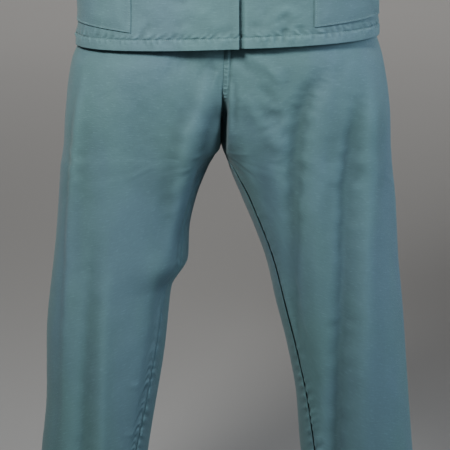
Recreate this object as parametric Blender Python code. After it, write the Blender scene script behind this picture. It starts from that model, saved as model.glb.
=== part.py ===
"""A scrub suit, hollow as worn: a short-sleeved front-opening top over straight-leg trousers.

Metres, +Z up.  The origin lies between the two neck points, where the shoulders hold the top.
The front faces -Y and the wearer's left is at +X.  Each piece that is cut and sewn is one object.
"""
import math
from collections import namedtuple

import bmesh
import bpy
from mathutils import Vector

# ---- cloth ----
WALL = 0.0015                 # hung cloth, one layer
HEM_WALL = 0.0024             # cloth turned up and stitched
SEAM_GAP = 0.0003             # clear space where two pieces meet
STEP_ANGLE = math.radians(0.5)
STEP_HEIGHT = 0.0005

# ---- top: heights of its lines ----
UNDERARM = -0.270
TOP_HEM = -0.658
TOP_HEM_FOLD = 0.016          # the hem is turned up by this much
HEM_TILT = 0.033              # the hem rises toward the wearer's left
POCKET_TOP = -0.465
POCKET_BOTTOM = -0.632
POCKET_EDGE = {-1: 0.134, 1: 0.1275}    # inner edges of the pockets, from the middle

# ---- top: fronts and neck ----
FRONT_OVERLAP = 0.020         # each front passes the middle by this much
LAP_RISE = 0.0012             # the upper front stands out near the middle
LAP_DROP = 0.0014             # and the lower front lies in
LAP_FLAT = 0.026
LAP_END = 0.080
NECK_HALF = 0.085
NECK_START = math.radians(15)
BACK_NECK_DIP = math.radians(34)
SHOULDER_SLOPE = math.tan(math.radians(20))
DOME_SQUARE = 2.4

# ---- top: sleeves ----
CUFF_CENTRE = Vector((0.325, -0.004, -0.300))
CUFF_ACROSS = 0.068
CUFF_DEPTH = 0.061
SLEEVE_LEAN = math.radians(32)     # the sleeve's middle line, from straight down
SLEEVE_SEAM = 0.0022

# ---- buttons ----
BUTTON_RADIUS = 0.0075
BUTTON_THICK = 0.0026
BUTTON_TOP = -0.222
BUTTON_SPACE = 0.106
BUTTON_COUNT = 4
BUTTON_CLEAR = 0.0006

# ---- trousers: heights of their lines ----
WAIST = -0.460
WAIST_SEAM = -0.500
CROTCH = -0.816
CROTCH_RISE = 0.156           # the middle crease opens over this height
CROTCH_DROP = 0.080
LEG_HEM = -1.470
LEG_HEM_FOLD = 0.024
SEAM_TOP_X = 0.004            # the middle seam wanders a little sideways
SEAM_CROTCH_X = -0.006

# ---- numbers of rows and columns ----
POCKET_COLUMNS = 4
FRONT_COLUMNS = 6
SHOULDER_COLUMNS = 5
BACK_NECK_COLUMNS = 6
NECK_ROWS = 2
DOME_ROWS = 7
LEG_COLUMNS = 11
CREASE_ROWS = 9
LEG_ROWS = 10

Section = namedtuple("Section", "height outer inner front back square turn")
Ring = namedtuple("Ring", "height middle half front back square")
Edge = namedtuple("Edge", "climb reach")
Fold = namedtuple("Fold", "side face x_top top x_low low width rise")

# A leg's outer side is measured from the middle of the suit and its inner side from the middle
# seam; turn is how far the inside-leg seam comes round to the front.
RIGHT_LEG = [
    Section(-0.460, 0.165, -0.165, 0.118, 0.120, 2.2, 0),
    Section(-0.540, 0.184, -0.170, 0.125, 0.133, 2.1, 0),
    Section(-0.600, 0.2000, -0.140, 0.1308, 0.1410, 2.1, 0),
    Section(-0.666, 0.2172, -0.100, 0.1358, 0.1460, 2.2, 0),
    Section(-0.690, 0.2266, -0.075, 0.1388, 0.1492, 2.5, 0),
    Section(-0.724, 0.2323, -0.052, 0.1368, 0.1472, 2.7, 0),
    Section(-0.765, 0.2358, -0.011, 0.1308, 0.1392, 2.8, 0),
    Section(-0.816, 0.2398, 0.000, 0.1218, 0.1282, 2.6, 0),
    Section(-0.832, 0.2420, 0.010, 0.1198, 0.1252, 2.5, 12),
    Section(-0.851, 0.2453, 0.019, 0.1168, 0.1222, 2.4, 24),
    Section(-0.896, 0.2485, 0.036, 0.110, 0.115, 2.2, 30),
    Section(-0.950, 0.2530, 0.0475, 0.105, 0.109, 2.1, 30),
    Section(-0.988, 0.2570, 0.049, 0.102, 0.106, 2.1, 30),
    Section(-1.034, 0.2625, 0.074, 0.098, 0.101, 2.1, 32),
    Section(-1.104, 0.2690, 0.082, 0.093, 0.095, 2.1, 34),
    Section(-1.197, 0.2705, 0.096, 0.086, 0.087, 2.1, 38),
    Section(-1.290, 0.2795, 0.111, 0.080, 0.080, 2.1, 42),
    Section(-1.470, 0.2960, 0.138, 0.075, 0.075, 2.1, 44),
]
LEFT_LEG = [
    Section(-0.460, 0.165, -0.165, 0.118, 0.120, 2.2, 0),
    Section(-0.540, 0.186, -0.170, 0.125, 0.133, 2.1, 0),
    Section(-0.600, 0.204, -0.140, 0.130, 0.141, 2.1, 0),
    Section(-0.652, 0.2228, -0.100, 0.134, 0.146, 2.2, 0),
    Section(-0.690, 0.2340, -0.075, 0.138, 0.148, 2.5, 0),
    Section(-0.724, 0.2395, -0.052, 0.136, 0.146, 2.7, 0),
    Section(-0.765, 0.2440, -0.011, 0.130, 0.138, 2.8, 0),
    Section(-0.816, 0.2462, 0.000, 0.121, 0.127, 2.6, 0),
    Section(-0.832, 0.2478, 0.0065, 0.119, 0.124, 2.5, 13),
    Section(-0.851, 0.2495, 0.0120, 0.116, 0.121, 2.4, 26),
    Section(-0.896, 0.2545, 0.030, 0.110, 0.115, 2.2, 30),
    Section(-0.988, 0.2600, 0.066, 0.102, 0.106, 2.1, 31),
    Section(-1.057, 0.2670, 0.083, 0.096, 0.099, 2.1, 32),
    Section(-1.127, 0.2724, 0.101, 0.091, 0.093, 2.1, 33),
    Section(-1.197, 0.2778, 0.114, 0.086, 0.087, 2.1, 36),
    Section(-1.290, 0.2855, 0.122, 0.080, 0.080, 2.1, 40),
    Section(-1.470, 0.3000, 0.151, 0.075, 0.075, 2.1, 42),
]
LEGS = {-1: RIGHT_LEG, 1: LEFT_LEG}

TOP_RINGS = [
    Ring(-0.270, 0.0020, 0.2360, 0.135, 0.130, 2.6),
    Ring(-0.360, 0.0020, 0.2290, 0.134, 0.128, 2.5),
    Ring(-0.450, 0.0025, 0.2200, 0.138, 0.134, 2.5),
    Ring(-0.530, 0.0030, 0.2165, 0.145, 0.146, 2.5),
    Ring(-0.600, 0.0033, 0.2180, 0.151, 0.158, 2.5),
    Ring(-0.658, 0.0036, 0.2240, 0.156, 0.167, 2.5),
]
# How far the armhole lies from the middle, from the underarm (climb 0) to the shoulder (climb 1).
ARMHOLE = [
    Edge(0.00, 0.2360),
    Edge(0.10, 0.2200),
    Edge(0.28, 0.2030),
    Edge(0.60, 0.2060),
    Edge(1.00, 0.2260),
]
# Folds of the trousers: face -1 is the front, a rise below zero is a trough.
LEG_FOLDS = [
    Fold(1, -1, 0.140, -0.690, 0.100, -1.090, 0.020, -0.0060),
    Fold(1, -1, 0.190, -0.735, 0.166, -1.270, 0.017, -0.0050),
    Fold(1, -1, 0.118, -0.780, 0.136, -1.180, 0.020, 0.0030),
    Fold(-1, -1, 0.030, -0.710, 0.080, -0.930, 0.017, 0.0040),
    Fold(-1, -1, 0.200, -1.020, 0.212, -1.440, 0.017, -0.0045),
    Fold(-1, -1, 0.060, -0.935, 0.084, -1.040, 0.022, 0.0040),
    Fold(1, 1, 0.090, -0.700, 0.125, -1.100, 0.030, -0.0070),
    Fold(1, 1, 0.190, -0.760, 0.215, -1.350, 0.026, -0.0050),
    Fold(-1, 1, 0.080, -0.690, 0.120, -1.060, 0.030, -0.0070),
    Fold(-1, 1, 0.195, -0.800, 0.210, -1.330, 0.026, -0.0050),
]


# ---- reading tables ----
def slope(table, index, column):
    """Slope of a table's column at a row, chosen so that the curve never overshoots."""
    if index == 0 or index == len(table) - 1:
        return 0.0
    before, here, after = table[index - 1], table[index], table[index + 1]
    rise_in = (getattr(here, column) - getattr(before, column)) / (here[0] - before[0])
    rise_out = (getattr(after, column) - getattr(here, column)) / (after[0] - here[0])
    if rise_in * rise_out <= 0:
        return 0.0
    return 2 * rise_in * rise_out / (rise_in + rise_out)


def read(table, place, column):
    """Value of a named column on the smooth curve through a table's rows."""
    falling = table[-1][0] < table[0][0]
    index = 0
    while index < len(table) - 2 and (place < table[index + 1][0]) == falling:
        index += 1
    start, end = table[index], table[index + 1]
    span = end[0] - start[0]
    t = min(1.0, max(0.0, (place - start[0]) / span))
    first, last = getattr(start, column), getattr(end, column)
    pull = (t - 2 * t**2 + t**3) * slope(table, index, column)
    push = (t**3 - t**2) * slope(table, index + 1, column)
    return first + (last - first) * (3 * t**2 - 2 * t**3) + span * (pull + push)


def mix(start, end, t):
    return start + (end - start) * t


def ease(t):
    """A step from 0 to 1 with soft ends."""
    t = min(1.0, max(0.0, t))
    return t * t * (3 - 2 * t)


def spaced(start, end, count, power=1.0):
    """Places after start, up to end; a power above 1 crowds them near start."""
    return [mix(start, end, (k / count) ** power) for k in range(1, count + 1)]


def oval_reach(angle, half, depth, square):
    """Distance from the middle of a squared oval to its edge at an angle."""
    across = abs(math.cos(angle) / half) ** square
    deep = abs(math.sin(angle) / depth) ** square
    return (across + deep) ** (-1 / square)


def oval_angle(x, half, depth, square, face):
    """Angle at which a squared oval reaches x, on its front (face -1) or its back (face 1)."""
    share = min(1.0, abs(x) / half)
    y = depth * (1 - share**square) ** (1 / square)
    return math.atan2(face * y, x)


# ---- walls of cloth ----
def cloth_object(name, outer, inner, look, joined=False):
    """Close two matching grids of points into one wall; joined makes it a tube."""
    mesh = bmesh.new()
    rows, columns = len(outer), len(outer[0])
    out = [[mesh.verts.new(point) for point in row] for row in outer]
    back = [[mesh.verts.new(point) for point in row] for row in inner]
    steps = [(c, (c + 1) % columns) for c in range(columns if joined else columns - 1)]
    for r in range(rows - 1):
        for c, d in steps:
            fan = split_order(out[r][c], out[r][d], out[r + 1][d], out[r + 1][c])
            places = [((r, c), (r, d), (r + 1, d), (r + 1, c))[k] for k in fan]
            for corner in (1, 2):
                chosen = (places[0], places[corner], places[corner + 1])
                mesh.faces.new([out[i][j] for i, j in chosen])
                mesh.faces.new([back[i][j] for i, j in reversed(chosen)])
    for c, d in steps:
        mesh.faces.new((out[0][d], out[0][c], back[0][c], back[0][d]))
        mesh.faces.new((out[-1][c], out[-1][d], back[-1][d], back[-1][c]))
    for r in range(0 if joined else rows - 1):
        mesh.faces.new((out[r][0], out[r + 1][0], back[r + 1][0], back[r][0]))
        mesh.faces.new((out[r + 1][-1], out[r][-1], back[r][-1], back[r + 1][-1]))
    bmesh.ops.recalc_face_normals(mesh, faces=mesh.faces)
    return finished(name, mesh, look)


def split_order(a, b, c, d):
    """Order of a quad's corners from which two triangles share its shorter diagonal."""
    if (a.co - c.co).length <= (b.co - d.co).length:
        return 0, 1, 2, 3
    return 1, 2, 3, 0


def finished(name, mesh, look):
    """Put a mesh into the suit's collection as a smooth-shaded object with its own material."""
    data = bpy.data.meshes.new(name)
    mesh.to_mesh(data)
    mesh.free()
    data.shade_smooth()
    data.set_sharp_from_angle(angle=math.radians(40))
    data.materials.append(plain_material(name, look))
    piece = bpy.data.objects.new(name, data)
    bpy.data.collections["medical_scrubs"].objects.link(piece)
    return piece


Look = namedtuple("Look", "colour roughness metallic")
CLOTH = Look((0.130, 0.235, 0.250), 0.85, 0.0)
BUTTON = Look((0.120, 0.210, 0.225), 0.45, 0.0)


def plain_material(name, look):
    material = bpy.data.materials.new(name)
    material.use_nodes = True
    shader = material.node_tree.nodes["Principled BSDF"]
    shader.inputs["Base Color"].default_value = (*look.colour, 1.0)
    shader.inputs["Roughness"].default_value = look.roughness
    shader.inputs["Metallic"].default_value = look.metallic
    return material


def surface_normal(surface, angle, place, place_step):
    """Outward direction of a surface given as a function of an angle and a place along it."""
    around = surface(angle + STEP_ANGLE, place) - surface(angle - STEP_ANGLE, place)
    along = surface(angle, place + place_step) - surface(angle, place - place_step)
    return around.cross(along).normalized()


# ---- trousers ----
def seam_x(height):
    """Sideways place of the middle seam, which is straight to the crotch."""
    t = (WAIST_SEAM - height) / (WAIST_SEAM - CROTCH)
    return mix(SEAM_TOP_X, SEAM_CROTCH_X, min(1.0, max(0.0, t)))


def fold_rise(side, face, x, height):
    """How far the trousers' folds push the cloth out at one place."""
    total = 0.0
    for fold in LEG_FOLDS:
        t = (fold.top - height) / (fold.top - fold.low)
        if fold.side == side and fold.face == face and 0 < t < 1:
            away = (x - mix(fold.x_top, fold.x_low, t)) / fold.width
            total += fold.rise * math.exp(-away * away) * ease(t / 0.2) * ease((1 - t) / 0.25)
    return total


def leg_point(side, angle, height):
    """Outer cloth of one half of the trousers; angle 0 is its outer side and -90 degrees its front."""
    table = LEGS[side]
    outer = read(table, height, "outer")
    inner = side * seam_x(height) + read(table, height, "inner")
    middle, half = (outer + inner) / 2, (outer - inner) / 2
    face = -1 if math.sin(angle) < 0 else 1
    depth = read(table, height, "front" if face < 0 else "back")
    reach = oval_reach(angle, half, depth, read(table, height, "square"))
    edge_fade = ease(abs(math.sin(angle)) * 3)
    reach += edge_fade * fold_rise(side, face, middle + reach * math.cos(angle), height)
    return Vector((side * (middle + reach * math.cos(angle)), reach * math.sin(angle), height))


def leg_normal(side, angle, height):
    def surface(a, h):
        return leg_point(side, a, h)
    return side * surface_normal(surface, angle, height, STEP_HEIGHT)


def leg_edge_angle(side, face, height):
    """Angle where one half of the trousers ends: at the middle seam, or at the inside-leg seam."""
    table = LEGS[side]
    if height <= CROTCH:
        return face * math.pi + math.radians(read(table, height, "turn"))
    outer = read(table, height, "outer")
    inner = side * seam_x(height) + read(table, height, "inner")
    middle, half = (outer + inner) / 2, (outer - inner) / 2
    depth = read(table, height, "front" if face < 0 else "back")
    edge = side * seam_x(height) + SEAM_GAP / 2
    return oval_angle(edge - middle, half, depth, read(table, height, "square"), face)


LegRow = namedtuple("LegRow", "seam side")


def leg_rows():
    """Heights of the trousers' rows: crowded at the crotch, and even down the outer side."""
    above = [WAIST_SEAM] + spaced(WAIST_SEAM, CROTCH + CROTCH_RISE, 3)
    fan = list(reversed(spaced(CROTCH, CROTCH + CROTCH_RISE, CREASE_ROWS, 2.0)))[1:]
    fan += [CROTCH] + spaced(CROTCH, CROTCH - CROTCH_DROP, 3, 2.0)
    side = spaced(CROTCH + CROTCH_RISE, CROTCH - CROTCH_DROP, len(fan))
    below = spaced(CROTCH - CROTCH_DROP, LEG_HEM + LEG_HEM_FOLD + 0.002, LEG_ROWS)
    below += [LEG_HEM + LEG_HEM_FOLD, LEG_HEM]
    rows = [LegRow(height, height) for height in above]
    rows += [LegRow(height, outside) for height, outside in zip(fan, side)]
    return rows + [LegRow(height, height) for height in below]


def leg_wall(height):
    return HEM_WALL if height <= LEG_HEM + LEG_HEM_FOLD else WALL


def clear_of_middle(side, point):
    """Keep a point of one half on its own side of the middle seam."""
    edge = side * seam_x(point.z) + SEAM_GAP / 2
    point.x = side * max(side * point.x, edge)
    return point


def make_leg_panel(name, side, face):
    """Front (face -1) or back (face 1) of one trouser leg, from the waist seam to the hem."""
    outer, inner = [], []
    for row in leg_rows():
        edge_angle = leg_edge_angle(side, face, row.seam)
        shares = [k / LEG_COLUMNS for k in range(LEG_COLUMNS + 1)]
        places = [(mix(edge_angle, 0.0, t), mix(row.seam, row.side, ease(t))) for t in shares]
        points = [leg_point(side, angle, height) for angle, height in places]
        normals = [leg_normal(side, angle, height) for angle, height in places]
        points[-1] += Vector((0, face * SEAM_GAP / 2, 0))
        if row.seam <= CROTCH:
            points[0] += along_row(points[0], points[1])
        outer.append([clear_of_middle(side, point) for point in points])
        lining = [point - normal * leg_wall(point.z) for point, normal in zip(points, normals)]
        inner.append([clear_of_middle(side, point) for point in lining])
    return cloth_object(name, outer, inner, CLOTH)


def along_row(edge, following):
    """Half a seam gap, from a panel's edge toward its next point."""
    return (following - edge).normalized() * (SEAM_GAP / 2)


def make_waistband():
    """The plain band round the waist, above the trouser panels."""
    outer, inner = [], []
    for height in (WAIST_SEAM + SEAM_GAP, WAIST):
        row, row_in = [], []
        for side, turns in ((1, range(-LEG_COLUMNS, LEG_COLUMNS + 1)),
                            (-1, range(LEG_COLUMNS - 1, -LEG_COLUMNS, -1))):
            for k in turns:
                angle = k / LEG_COLUMNS * math.pi / 2
                point = leg_point(side, angle, height)
                row.append(point)
                row_in.append(point - leg_normal(side, angle, height) * HEM_WALL)
        outer.append(row)
        inner.append(row_in)
    return cloth_object("waistband", outer, inner, CLOTH, joined=True)


# ---- top ----
def shoulder_height(x):
    return -SHOULDER_SLOPE * max(0.0, abs(x) - NECK_HALF)


def hem_shift(x, height):
    """The top's rows tilt more and more toward the hem."""
    return HEM_TILT * x * ease((UNDERARM - height) / (UNDERARM - TOP_HEM))


def top_point(angle, height, climb=0.0):
    """Outer cloth of the top; above the underarm, climb is the angle up over the shoulder."""
    half = read(TOP_RINGS, height, "half")
    middle = read(TOP_RINGS, height, "middle")
    depth = read(TOP_RINGS, height, "front" if math.sin(angle) < 0 else "back")
    reach = oval_reach(angle, half, depth, read(TOP_RINGS, height, "square"))
    x, y = middle + reach * math.cos(angle), reach * math.sin(angle)
    if climb == 0.0:
        return Vector((x, y, height + hem_shift(x, height)))
    round_off = oval_reach(climb, 1.0, 1.0, DOME_SQUARE)
    rise = (shoulder_height(x) - UNDERARM) * round_off * math.sin(climb)
    return Vector((x, y * round_off * math.cos(climb), UNDERARM + rise))


Row = namedtuple("Row", "height climb")


def top_rows():
    """Rows of the top, from its hem to the shoulder."""
    heights = [TOP_HEM, TOP_HEM + TOP_HEM_FOLD, TOP_HEM + TOP_HEM_FOLD + 0.002, POCKET_BOTTOM]
    heights += spaced(POCKET_BOTTOM, POCKET_TOP, 4)
    heights += spaced(POCKET_TOP, UNDERARM, 4)
    climbs = spaced(0.0, NECK_START, NECK_ROWS) + spaced(NECK_START, math.pi / 2, DOME_ROWS)
    return [Row(height, 0.0) for height in heights] + [Row(UNDERARM, climb) for climb in climbs]


def top_normal(angle, row):
    if row.climb == 0.0:
        return surface_normal(top_point, angle, row.height, STEP_HEIGHT)

    def dome(a, climb):
        return top_point(a, UNDERARM, min(climb, math.pi / 2))
    return surface_normal(dome, angle, row.climb, STEP_ANGLE)


def ring_angle(x, height, face):
    """Angle at which the top's ring at a height reaches x, on one face."""
    half, middle = read(TOP_RINGS, height, "half"), read(TOP_RINGS, height, "middle")
    depth = read(TOP_RINGS, height, "front" if face < 0 else "back")
    return oval_angle(x - middle, half, depth, read(TOP_RINGS, height, "square"), face)


def arm_angle(side, face, climb):
    """Angle of the side seam, or of the armhole's edge once above the underarm."""
    if climb == 0.0:
        return 0.0 if side > 0 else face * math.pi
    return ring_angle(side * read(ARMHOLE, climb / (math.pi / 2), "reach"), UNDERARM, face)


def neck_x(side, climb):
    """Where a front ends: its straight edge, then the slope of the neckline."""
    edge = -side * FRONT_OVERLAP
    if climb <= NECK_START:
        return edge
    start = oval_reach(NECK_START, 1, 1, DOME_SQUARE) * math.sin(NECK_START)
    here = oval_reach(climb, 1, 1, DOME_SQUARE) * math.sin(climb)
    return mix(edge, side * NECK_HALF, (here - start) / (1 - start))


def lap(side, x):
    """The upper front (side -1) stands out near the middle, and the lower front lies in."""
    share = ease((LAP_END - abs(x)) / (LAP_END - LAP_FLAT))
    return share * (LAP_RISE if side < 0 else -LAP_DROP)


def top_wall(row):
    return HEM_WALL if row.height <= TOP_HEM + TOP_HEM_FOLD else WALL


def front_grid(side):
    """Points and normals of one front of the top, columns from the side seam to the front edge."""
    points, normals = [], []
    for row in top_rows():
        arm = arm_angle(side, -1, row.climb)
        pocket = ring_angle(side * POCKET_EDGE[side], row.height, -1)
        end = ring_angle(neck_x(side, row.climb), row.height, -1)
        angles = [arm] + spaced(arm, pocket, POCKET_COLUMNS) + spaced(pocket, end, FRONT_COLUMNS)
        line = [top_point(angle, row.height, row.climb) for angle in angles]
        directions = [top_normal(angle, row) for angle in angles]
        line = [point + direction * lap(side, point.x) for point, direction in zip(line, directions)]
        points.append(line)
        normals.append(directions)
    return points, normals


def leave_seam_gaps(points, face):
    """Draw a panel of the top back from its side seam and its shoulder seam."""
    nudge = Vector((0, face * SEAM_GAP / 2, 0))
    for row, line in zip(top_rows(), points):
        if row.climb == 0.0:
            line[0] += nudge
    points[-1] = [point + nudge for point in points[-1]]


def make_front(name, side):
    points, normals = front_grid(side)
    leave_seam_gaps(points, -1)
    walls = [top_wall(row) for row in top_rows()]
    inner = [[p - n * wall for p, n in zip(line, directions)]
             for line, directions, wall in zip(points, normals, walls)]
    return cloth_object(name, points, inner, CLOTH)


def make_pocket(name, side):
    """A patch pocket, made from its front's own points, moved out."""
    points, normals = front_grid(side)
    leave_seam_gaps(points, -1)
    rows = [k for k, row in enumerate(top_rows())
            if row.climb == 0.0 and POCKET_BOTTOM <= row.height <= POCKET_TOP + 1e-9]
    keep = range(POCKET_COLUMNS + 1)
    inner = [[points[r][c] + normals[r][c] * SEAM_GAP for c in keep] for r in rows]
    outer = [[points[r][c] + normals[r][c] * (SEAM_GAP + WALL) for c in keep] for r in rows]
    return cloth_object(name, outer, inner, CLOTH)


def back_grid():
    """Points and normals of the back, columns from the wearer's right to the left."""
    points, normals = [], []
    for row in top_rows():
        line, directions = [], []
        for angle in back_angles(row):
            climb = row.climb * back_neck_share(top_point(angle, row.height).x)
            line.append(top_point(angle, row.height, climb))
            directions.append(top_normal(angle, Row(row.height, climb)))
        points.append(line)
        normals.append(directions)
    return points, normals


def back_angles(row):
    """Angles across the back: armhole, neck point, neck point, armhole."""
    stops = [arm_angle(-1, 1, row.climb), ring_angle(-NECK_HALF, row.height, 1),
             ring_angle(NECK_HALF, row.height, 1), arm_angle(1, 1, row.climb)]
    angles = stops[:1] + spaced(stops[0], stops[1], SHOULDER_COLUMNS)
    angles += spaced(stops[1], stops[2], BACK_NECK_COLUMNS)
    return angles + spaced(stops[2], stops[3], SHOULDER_COLUMNS)


def back_neck_share(x):
    """How far up the shoulder the back reaches: all the way, but for the neckline's dip."""
    inside = 1 - (x / NECK_HALF) ** 2
    if inside <= 0:
        return 1.0
    return 1 - BACK_NECK_DIP / (math.pi / 2) * math.sqrt(inside)


def make_back():
    points, normals = back_grid()
    leave_seam_gaps(points, 1)
    for row, line in zip(top_rows(), points):
        if row.climb == 0.0:
            line[-1] += Vector((0, SEAM_GAP / 2, 0))
    walls = [top_wall(row) for row in top_rows()]
    inner = [[p - n * wall for p, n in zip(line, directions)]
             for line, directions, wall in zip(points, normals, walls)]
    return cloth_object("top_back", points, inner, CLOTH)


# ---- sleeves ----
def armhole_loop(side):
    """Edge of an armhole, from the underarm up the front, over the shoulder and down the back."""
    climbs = [row.climb for row in top_rows() if row.climb > 0.0]
    path = [(-1, climb) for climb in [0.0] + climbs] + [(1, climb) for climb in reversed(climbs[:-1])]
    points = [top_point(arm_angle(side, face, climb), UNDERARM, climb) for face, climb in path]
    normals = [top_normal(arm_angle(side, face, climb), Row(UNDERARM, climb)) for face, climb in path]
    return points, normals


def edge_directions(points, normals, side):
    """Directions that leave an edge loop within the cloth, away from the panels."""
    count = len(points)
    ways = []
    for k in range(count):
        along = points[(k + 1) % count] - points[k - 1]
        ways.append((side * along.cross(normals[k])).normalized())
    return ways


def cuff_frame(side):
    """Centre, middle line, and downward and forward directions of a cuff."""
    line = Vector((side * math.sin(SLEEVE_LEAN), 0, -math.cos(SLEEVE_LEAN)))
    down = Vector((-side * math.cos(SLEEVE_LEAN), 0, -math.sin(SLEEVE_LEAN)))
    centre = Vector((side * CUFF_CENTRE.x, CUFF_CENTRE.y, CUFF_CENTRE.z))
    return centre, line, down, Vector((0, -1, 0))


def bezier(a, b, c, d, t):
    s = 1 - t
    return a * s**3 + b * (3 * s * s * t) + c * (3 * s * t * t) + d * t**3


def sleeve_rings(side):
    """Rings of a sleeve from its armhole to its cuff, each with its distance from the cuff."""
    points, normals = armhole_loop(side)
    ways = edge_directions(points, normals, side)
    centre, line, down, forward = cuff_frame(side)
    count = len(points)
    start = [p + w * SEAM_GAP for p, w in zip(points, ways)]
    seam = [p + w * (SEAM_GAP + SLEEVE_SEAM) for p, w in zip(points, ways)]
    rings = [start, seam]
    slopes = [0.22, 0.42, 0.62, 0.80, 0.925, 0.94, 1.0]
    for t in slopes:
        ring = []
        for k in range(count):
            turn = 2 * math.pi * k / count
            end = centre + down * (CUFF_ACROSS * math.cos(turn)) + forward * (CUFF_DEPTH * math.sin(turn))
            reach = (end - seam[k]).length / 3
            leave = mix(ways[k], line, 0.35 + 0.65 * ease((math.cos(turn) + 1) / 2)).normalized()
            ring.append(bezier(seam[k], seam[k] + leave * reach, end - line * reach, end, t))
        rings.append(ring)
    return rings, normals


def ring_normals(rings, index, side):
    """Outward directions of one ring in a stack of matching rings."""
    count = len(rings[index])
    before, after = rings[max(0, index - 1)], rings[min(len(rings) - 1, index + 1)]
    result = []
    for k in range(count):
        around = rings[index][(k + 1) % count] - rings[index][k - 1]
        result.append((side * (after[k] - before[k]).cross(around)).normalized())
    return result


def make_sleeve(name, side):
    rings, edge_normals = sleeve_rings(side)
    inner = []
    for k, ring in enumerate(rings):
        normals = edge_normals if k < 2 else ring_normals(rings, k, side)
        wall = HEM_WALL if k >= len(rings) - 2 else WALL
        inner.append([point - normal * wall for point, normal in zip(ring, normals)])
    return cloth_object(name, rings, inner, CLOTH, joined=True)


# ---- buttons ----
def make_button(name, height):
    """A flat round button on the upper front, facing forward."""
    centre = top_point(-math.pi / 2, height)
    row = Row(height, 0.0)
    facing = top_normal(-math.pi / 2, row)
    lift = LAP_RISE + BUTTON_CLEAR + BUTTON_THICK / 2
    mesh = bmesh.new()
    bmesh.ops.create_cone(mesh, cap_ends=True, segments=20, radius1=BUTTON_RADIUS,
                          radius2=BUTTON_RADIUS, depth=BUTTON_THICK)
    button = finished(name, mesh, BUTTON)
    button.rotation_euler = facing.to_track_quat("Z", "Y").to_euler()
    button.location = centre + facing * lift
    return button


def start_empty_scene():
    for piece in list(bpy.data.objects):
        bpy.data.objects.remove(piece)
    collection = bpy.data.collections.new("medical_scrubs")
    bpy.context.scene.collection.children.link(collection)


def make_top():
    make_front("top_front_right", -1)
    make_front("top_front_left", 1)
    make_back()
    make_sleeve("sleeve_right", -1)
    make_sleeve("sleeve_left", 1)
    make_pocket("pocket_right", -1)
    make_pocket("pocket_left", 1)
    for k in range(BUTTON_COUNT):
        make_button(f"button_{k + 1}", BUTTON_TOP - BUTTON_SPACE * k)


def make_trousers():
    make_leg_panel("trouser_front_right", -1, -1)
    make_leg_panel("trouser_front_left", 1, -1)
    make_leg_panel("trouser_back_right", -1, 1)
    make_leg_panel("trouser_back_left", 1, 1)
    make_waistband()


start_empty_scene()
make_top()
make_trousers()
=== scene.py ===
# %% [markdown]
# # A scrub suit, worn
# A short-sleeved top that opens down the front, over straight-leg trousers. Both are thin plain
# weave, sewn from flat panels, and they hang hollow round a wearer who isn't there.
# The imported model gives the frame: every size below is in metres, with the origin between the
# neck points, the wearer's front toward -Y and the wearer's left at +X.

# %% Load the frame
import math

import bmesh
import bpy
import numpy as np
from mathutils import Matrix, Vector


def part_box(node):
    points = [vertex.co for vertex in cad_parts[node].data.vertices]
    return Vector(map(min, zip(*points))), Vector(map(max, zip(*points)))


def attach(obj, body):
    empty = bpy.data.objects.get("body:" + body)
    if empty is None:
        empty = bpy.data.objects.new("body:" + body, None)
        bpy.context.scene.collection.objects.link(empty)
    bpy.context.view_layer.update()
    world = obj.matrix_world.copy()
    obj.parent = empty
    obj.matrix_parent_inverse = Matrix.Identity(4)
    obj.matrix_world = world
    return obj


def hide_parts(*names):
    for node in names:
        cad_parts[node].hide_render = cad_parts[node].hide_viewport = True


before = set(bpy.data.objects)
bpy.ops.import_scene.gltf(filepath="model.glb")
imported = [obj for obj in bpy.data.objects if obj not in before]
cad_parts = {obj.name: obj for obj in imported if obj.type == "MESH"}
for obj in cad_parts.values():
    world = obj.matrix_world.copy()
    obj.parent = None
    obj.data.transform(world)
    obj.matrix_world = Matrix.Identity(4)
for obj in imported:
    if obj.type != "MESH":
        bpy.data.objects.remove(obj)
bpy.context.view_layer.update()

# %% [markdown]
# ## Curves through a short table
# A garment's size changes smoothly from waist to hem. A pattern maker writes a few measurements
# and draws a fair curve through them. Here each table row is one height, and the curve never
# overshoots, so a leg that narrows in the table narrows everywhere.

# %% A table that reads as a fair curve
class Table:
    """Rows of numbers, the first column in order, read by column name."""

    def __init__(self, names, *rows):
        self.names = names.split()
        self.rows = np.array(sorted(rows), float)

    def read(self, place, name):
        at, value = self.rows[:, 0], self.rows[:, self.names.index(name)]
        rate = np.diff(value) / np.diff(at)
        before, after = rate[:-1], rate[1:]
        both = np.where(before * after > 0, before + after, np.inf)
        slope = np.concatenate([[0], 2 * before * after / both, [0]])
        k = np.clip(np.searchsorted(at, place) - 1, 0, len(at) - 2)
        span = at[k + 1] - at[k]
        t = np.clip((place - at[k]) / span, 0, 1)
        bend = (t - 2 * t**2 + t**3) * slope[k] + (t**3 - t**2) * slope[k + 1]
        return value[k] + (value[k + 1] - value[k]) * (3 * t**2 - 2 * t**3) + span * bend


def measured(names, text, plain=0):
    """A table from rows in millimetres; its last plain columns are taken as they are."""
    rows = [[float(word) for word in row.split()] for row in text.split(";")]
    metres = len(names.split()) - plain
    return Table(names, *([size / 1000 for size in row[:metres]] + row[metres:] for row in rows))


def mix(start, end, t):
    return start + (end - start) * t


def ease(t):
    t = np.clip(t, 0, 1)
    return t * t * (3 - 2 * t)


def bell(value, width, power=2):
    """1 in the middle, and close to 0 from two widths on."""
    return np.exp(-(value / width) ** power)


def oval_reach(angle, half, depth, square):
    """Distance from the middle of a squared oval to its edge."""
    across = np.abs(np.cos(angle) / half) ** square
    deep = np.abs(np.sin(angle) / depth) ** square
    return (across + deep) ** (-1 / square)


def oval_angle(x, half, depth, square, face):
    """Angle at which a squared oval reaches x, on its front (face -1) or back (face 1)."""
    share = np.minimum(1.0, np.abs(x) / half)
    return np.arctan2(face * depth * (1 - share**square) ** (1 / square), x)


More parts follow.
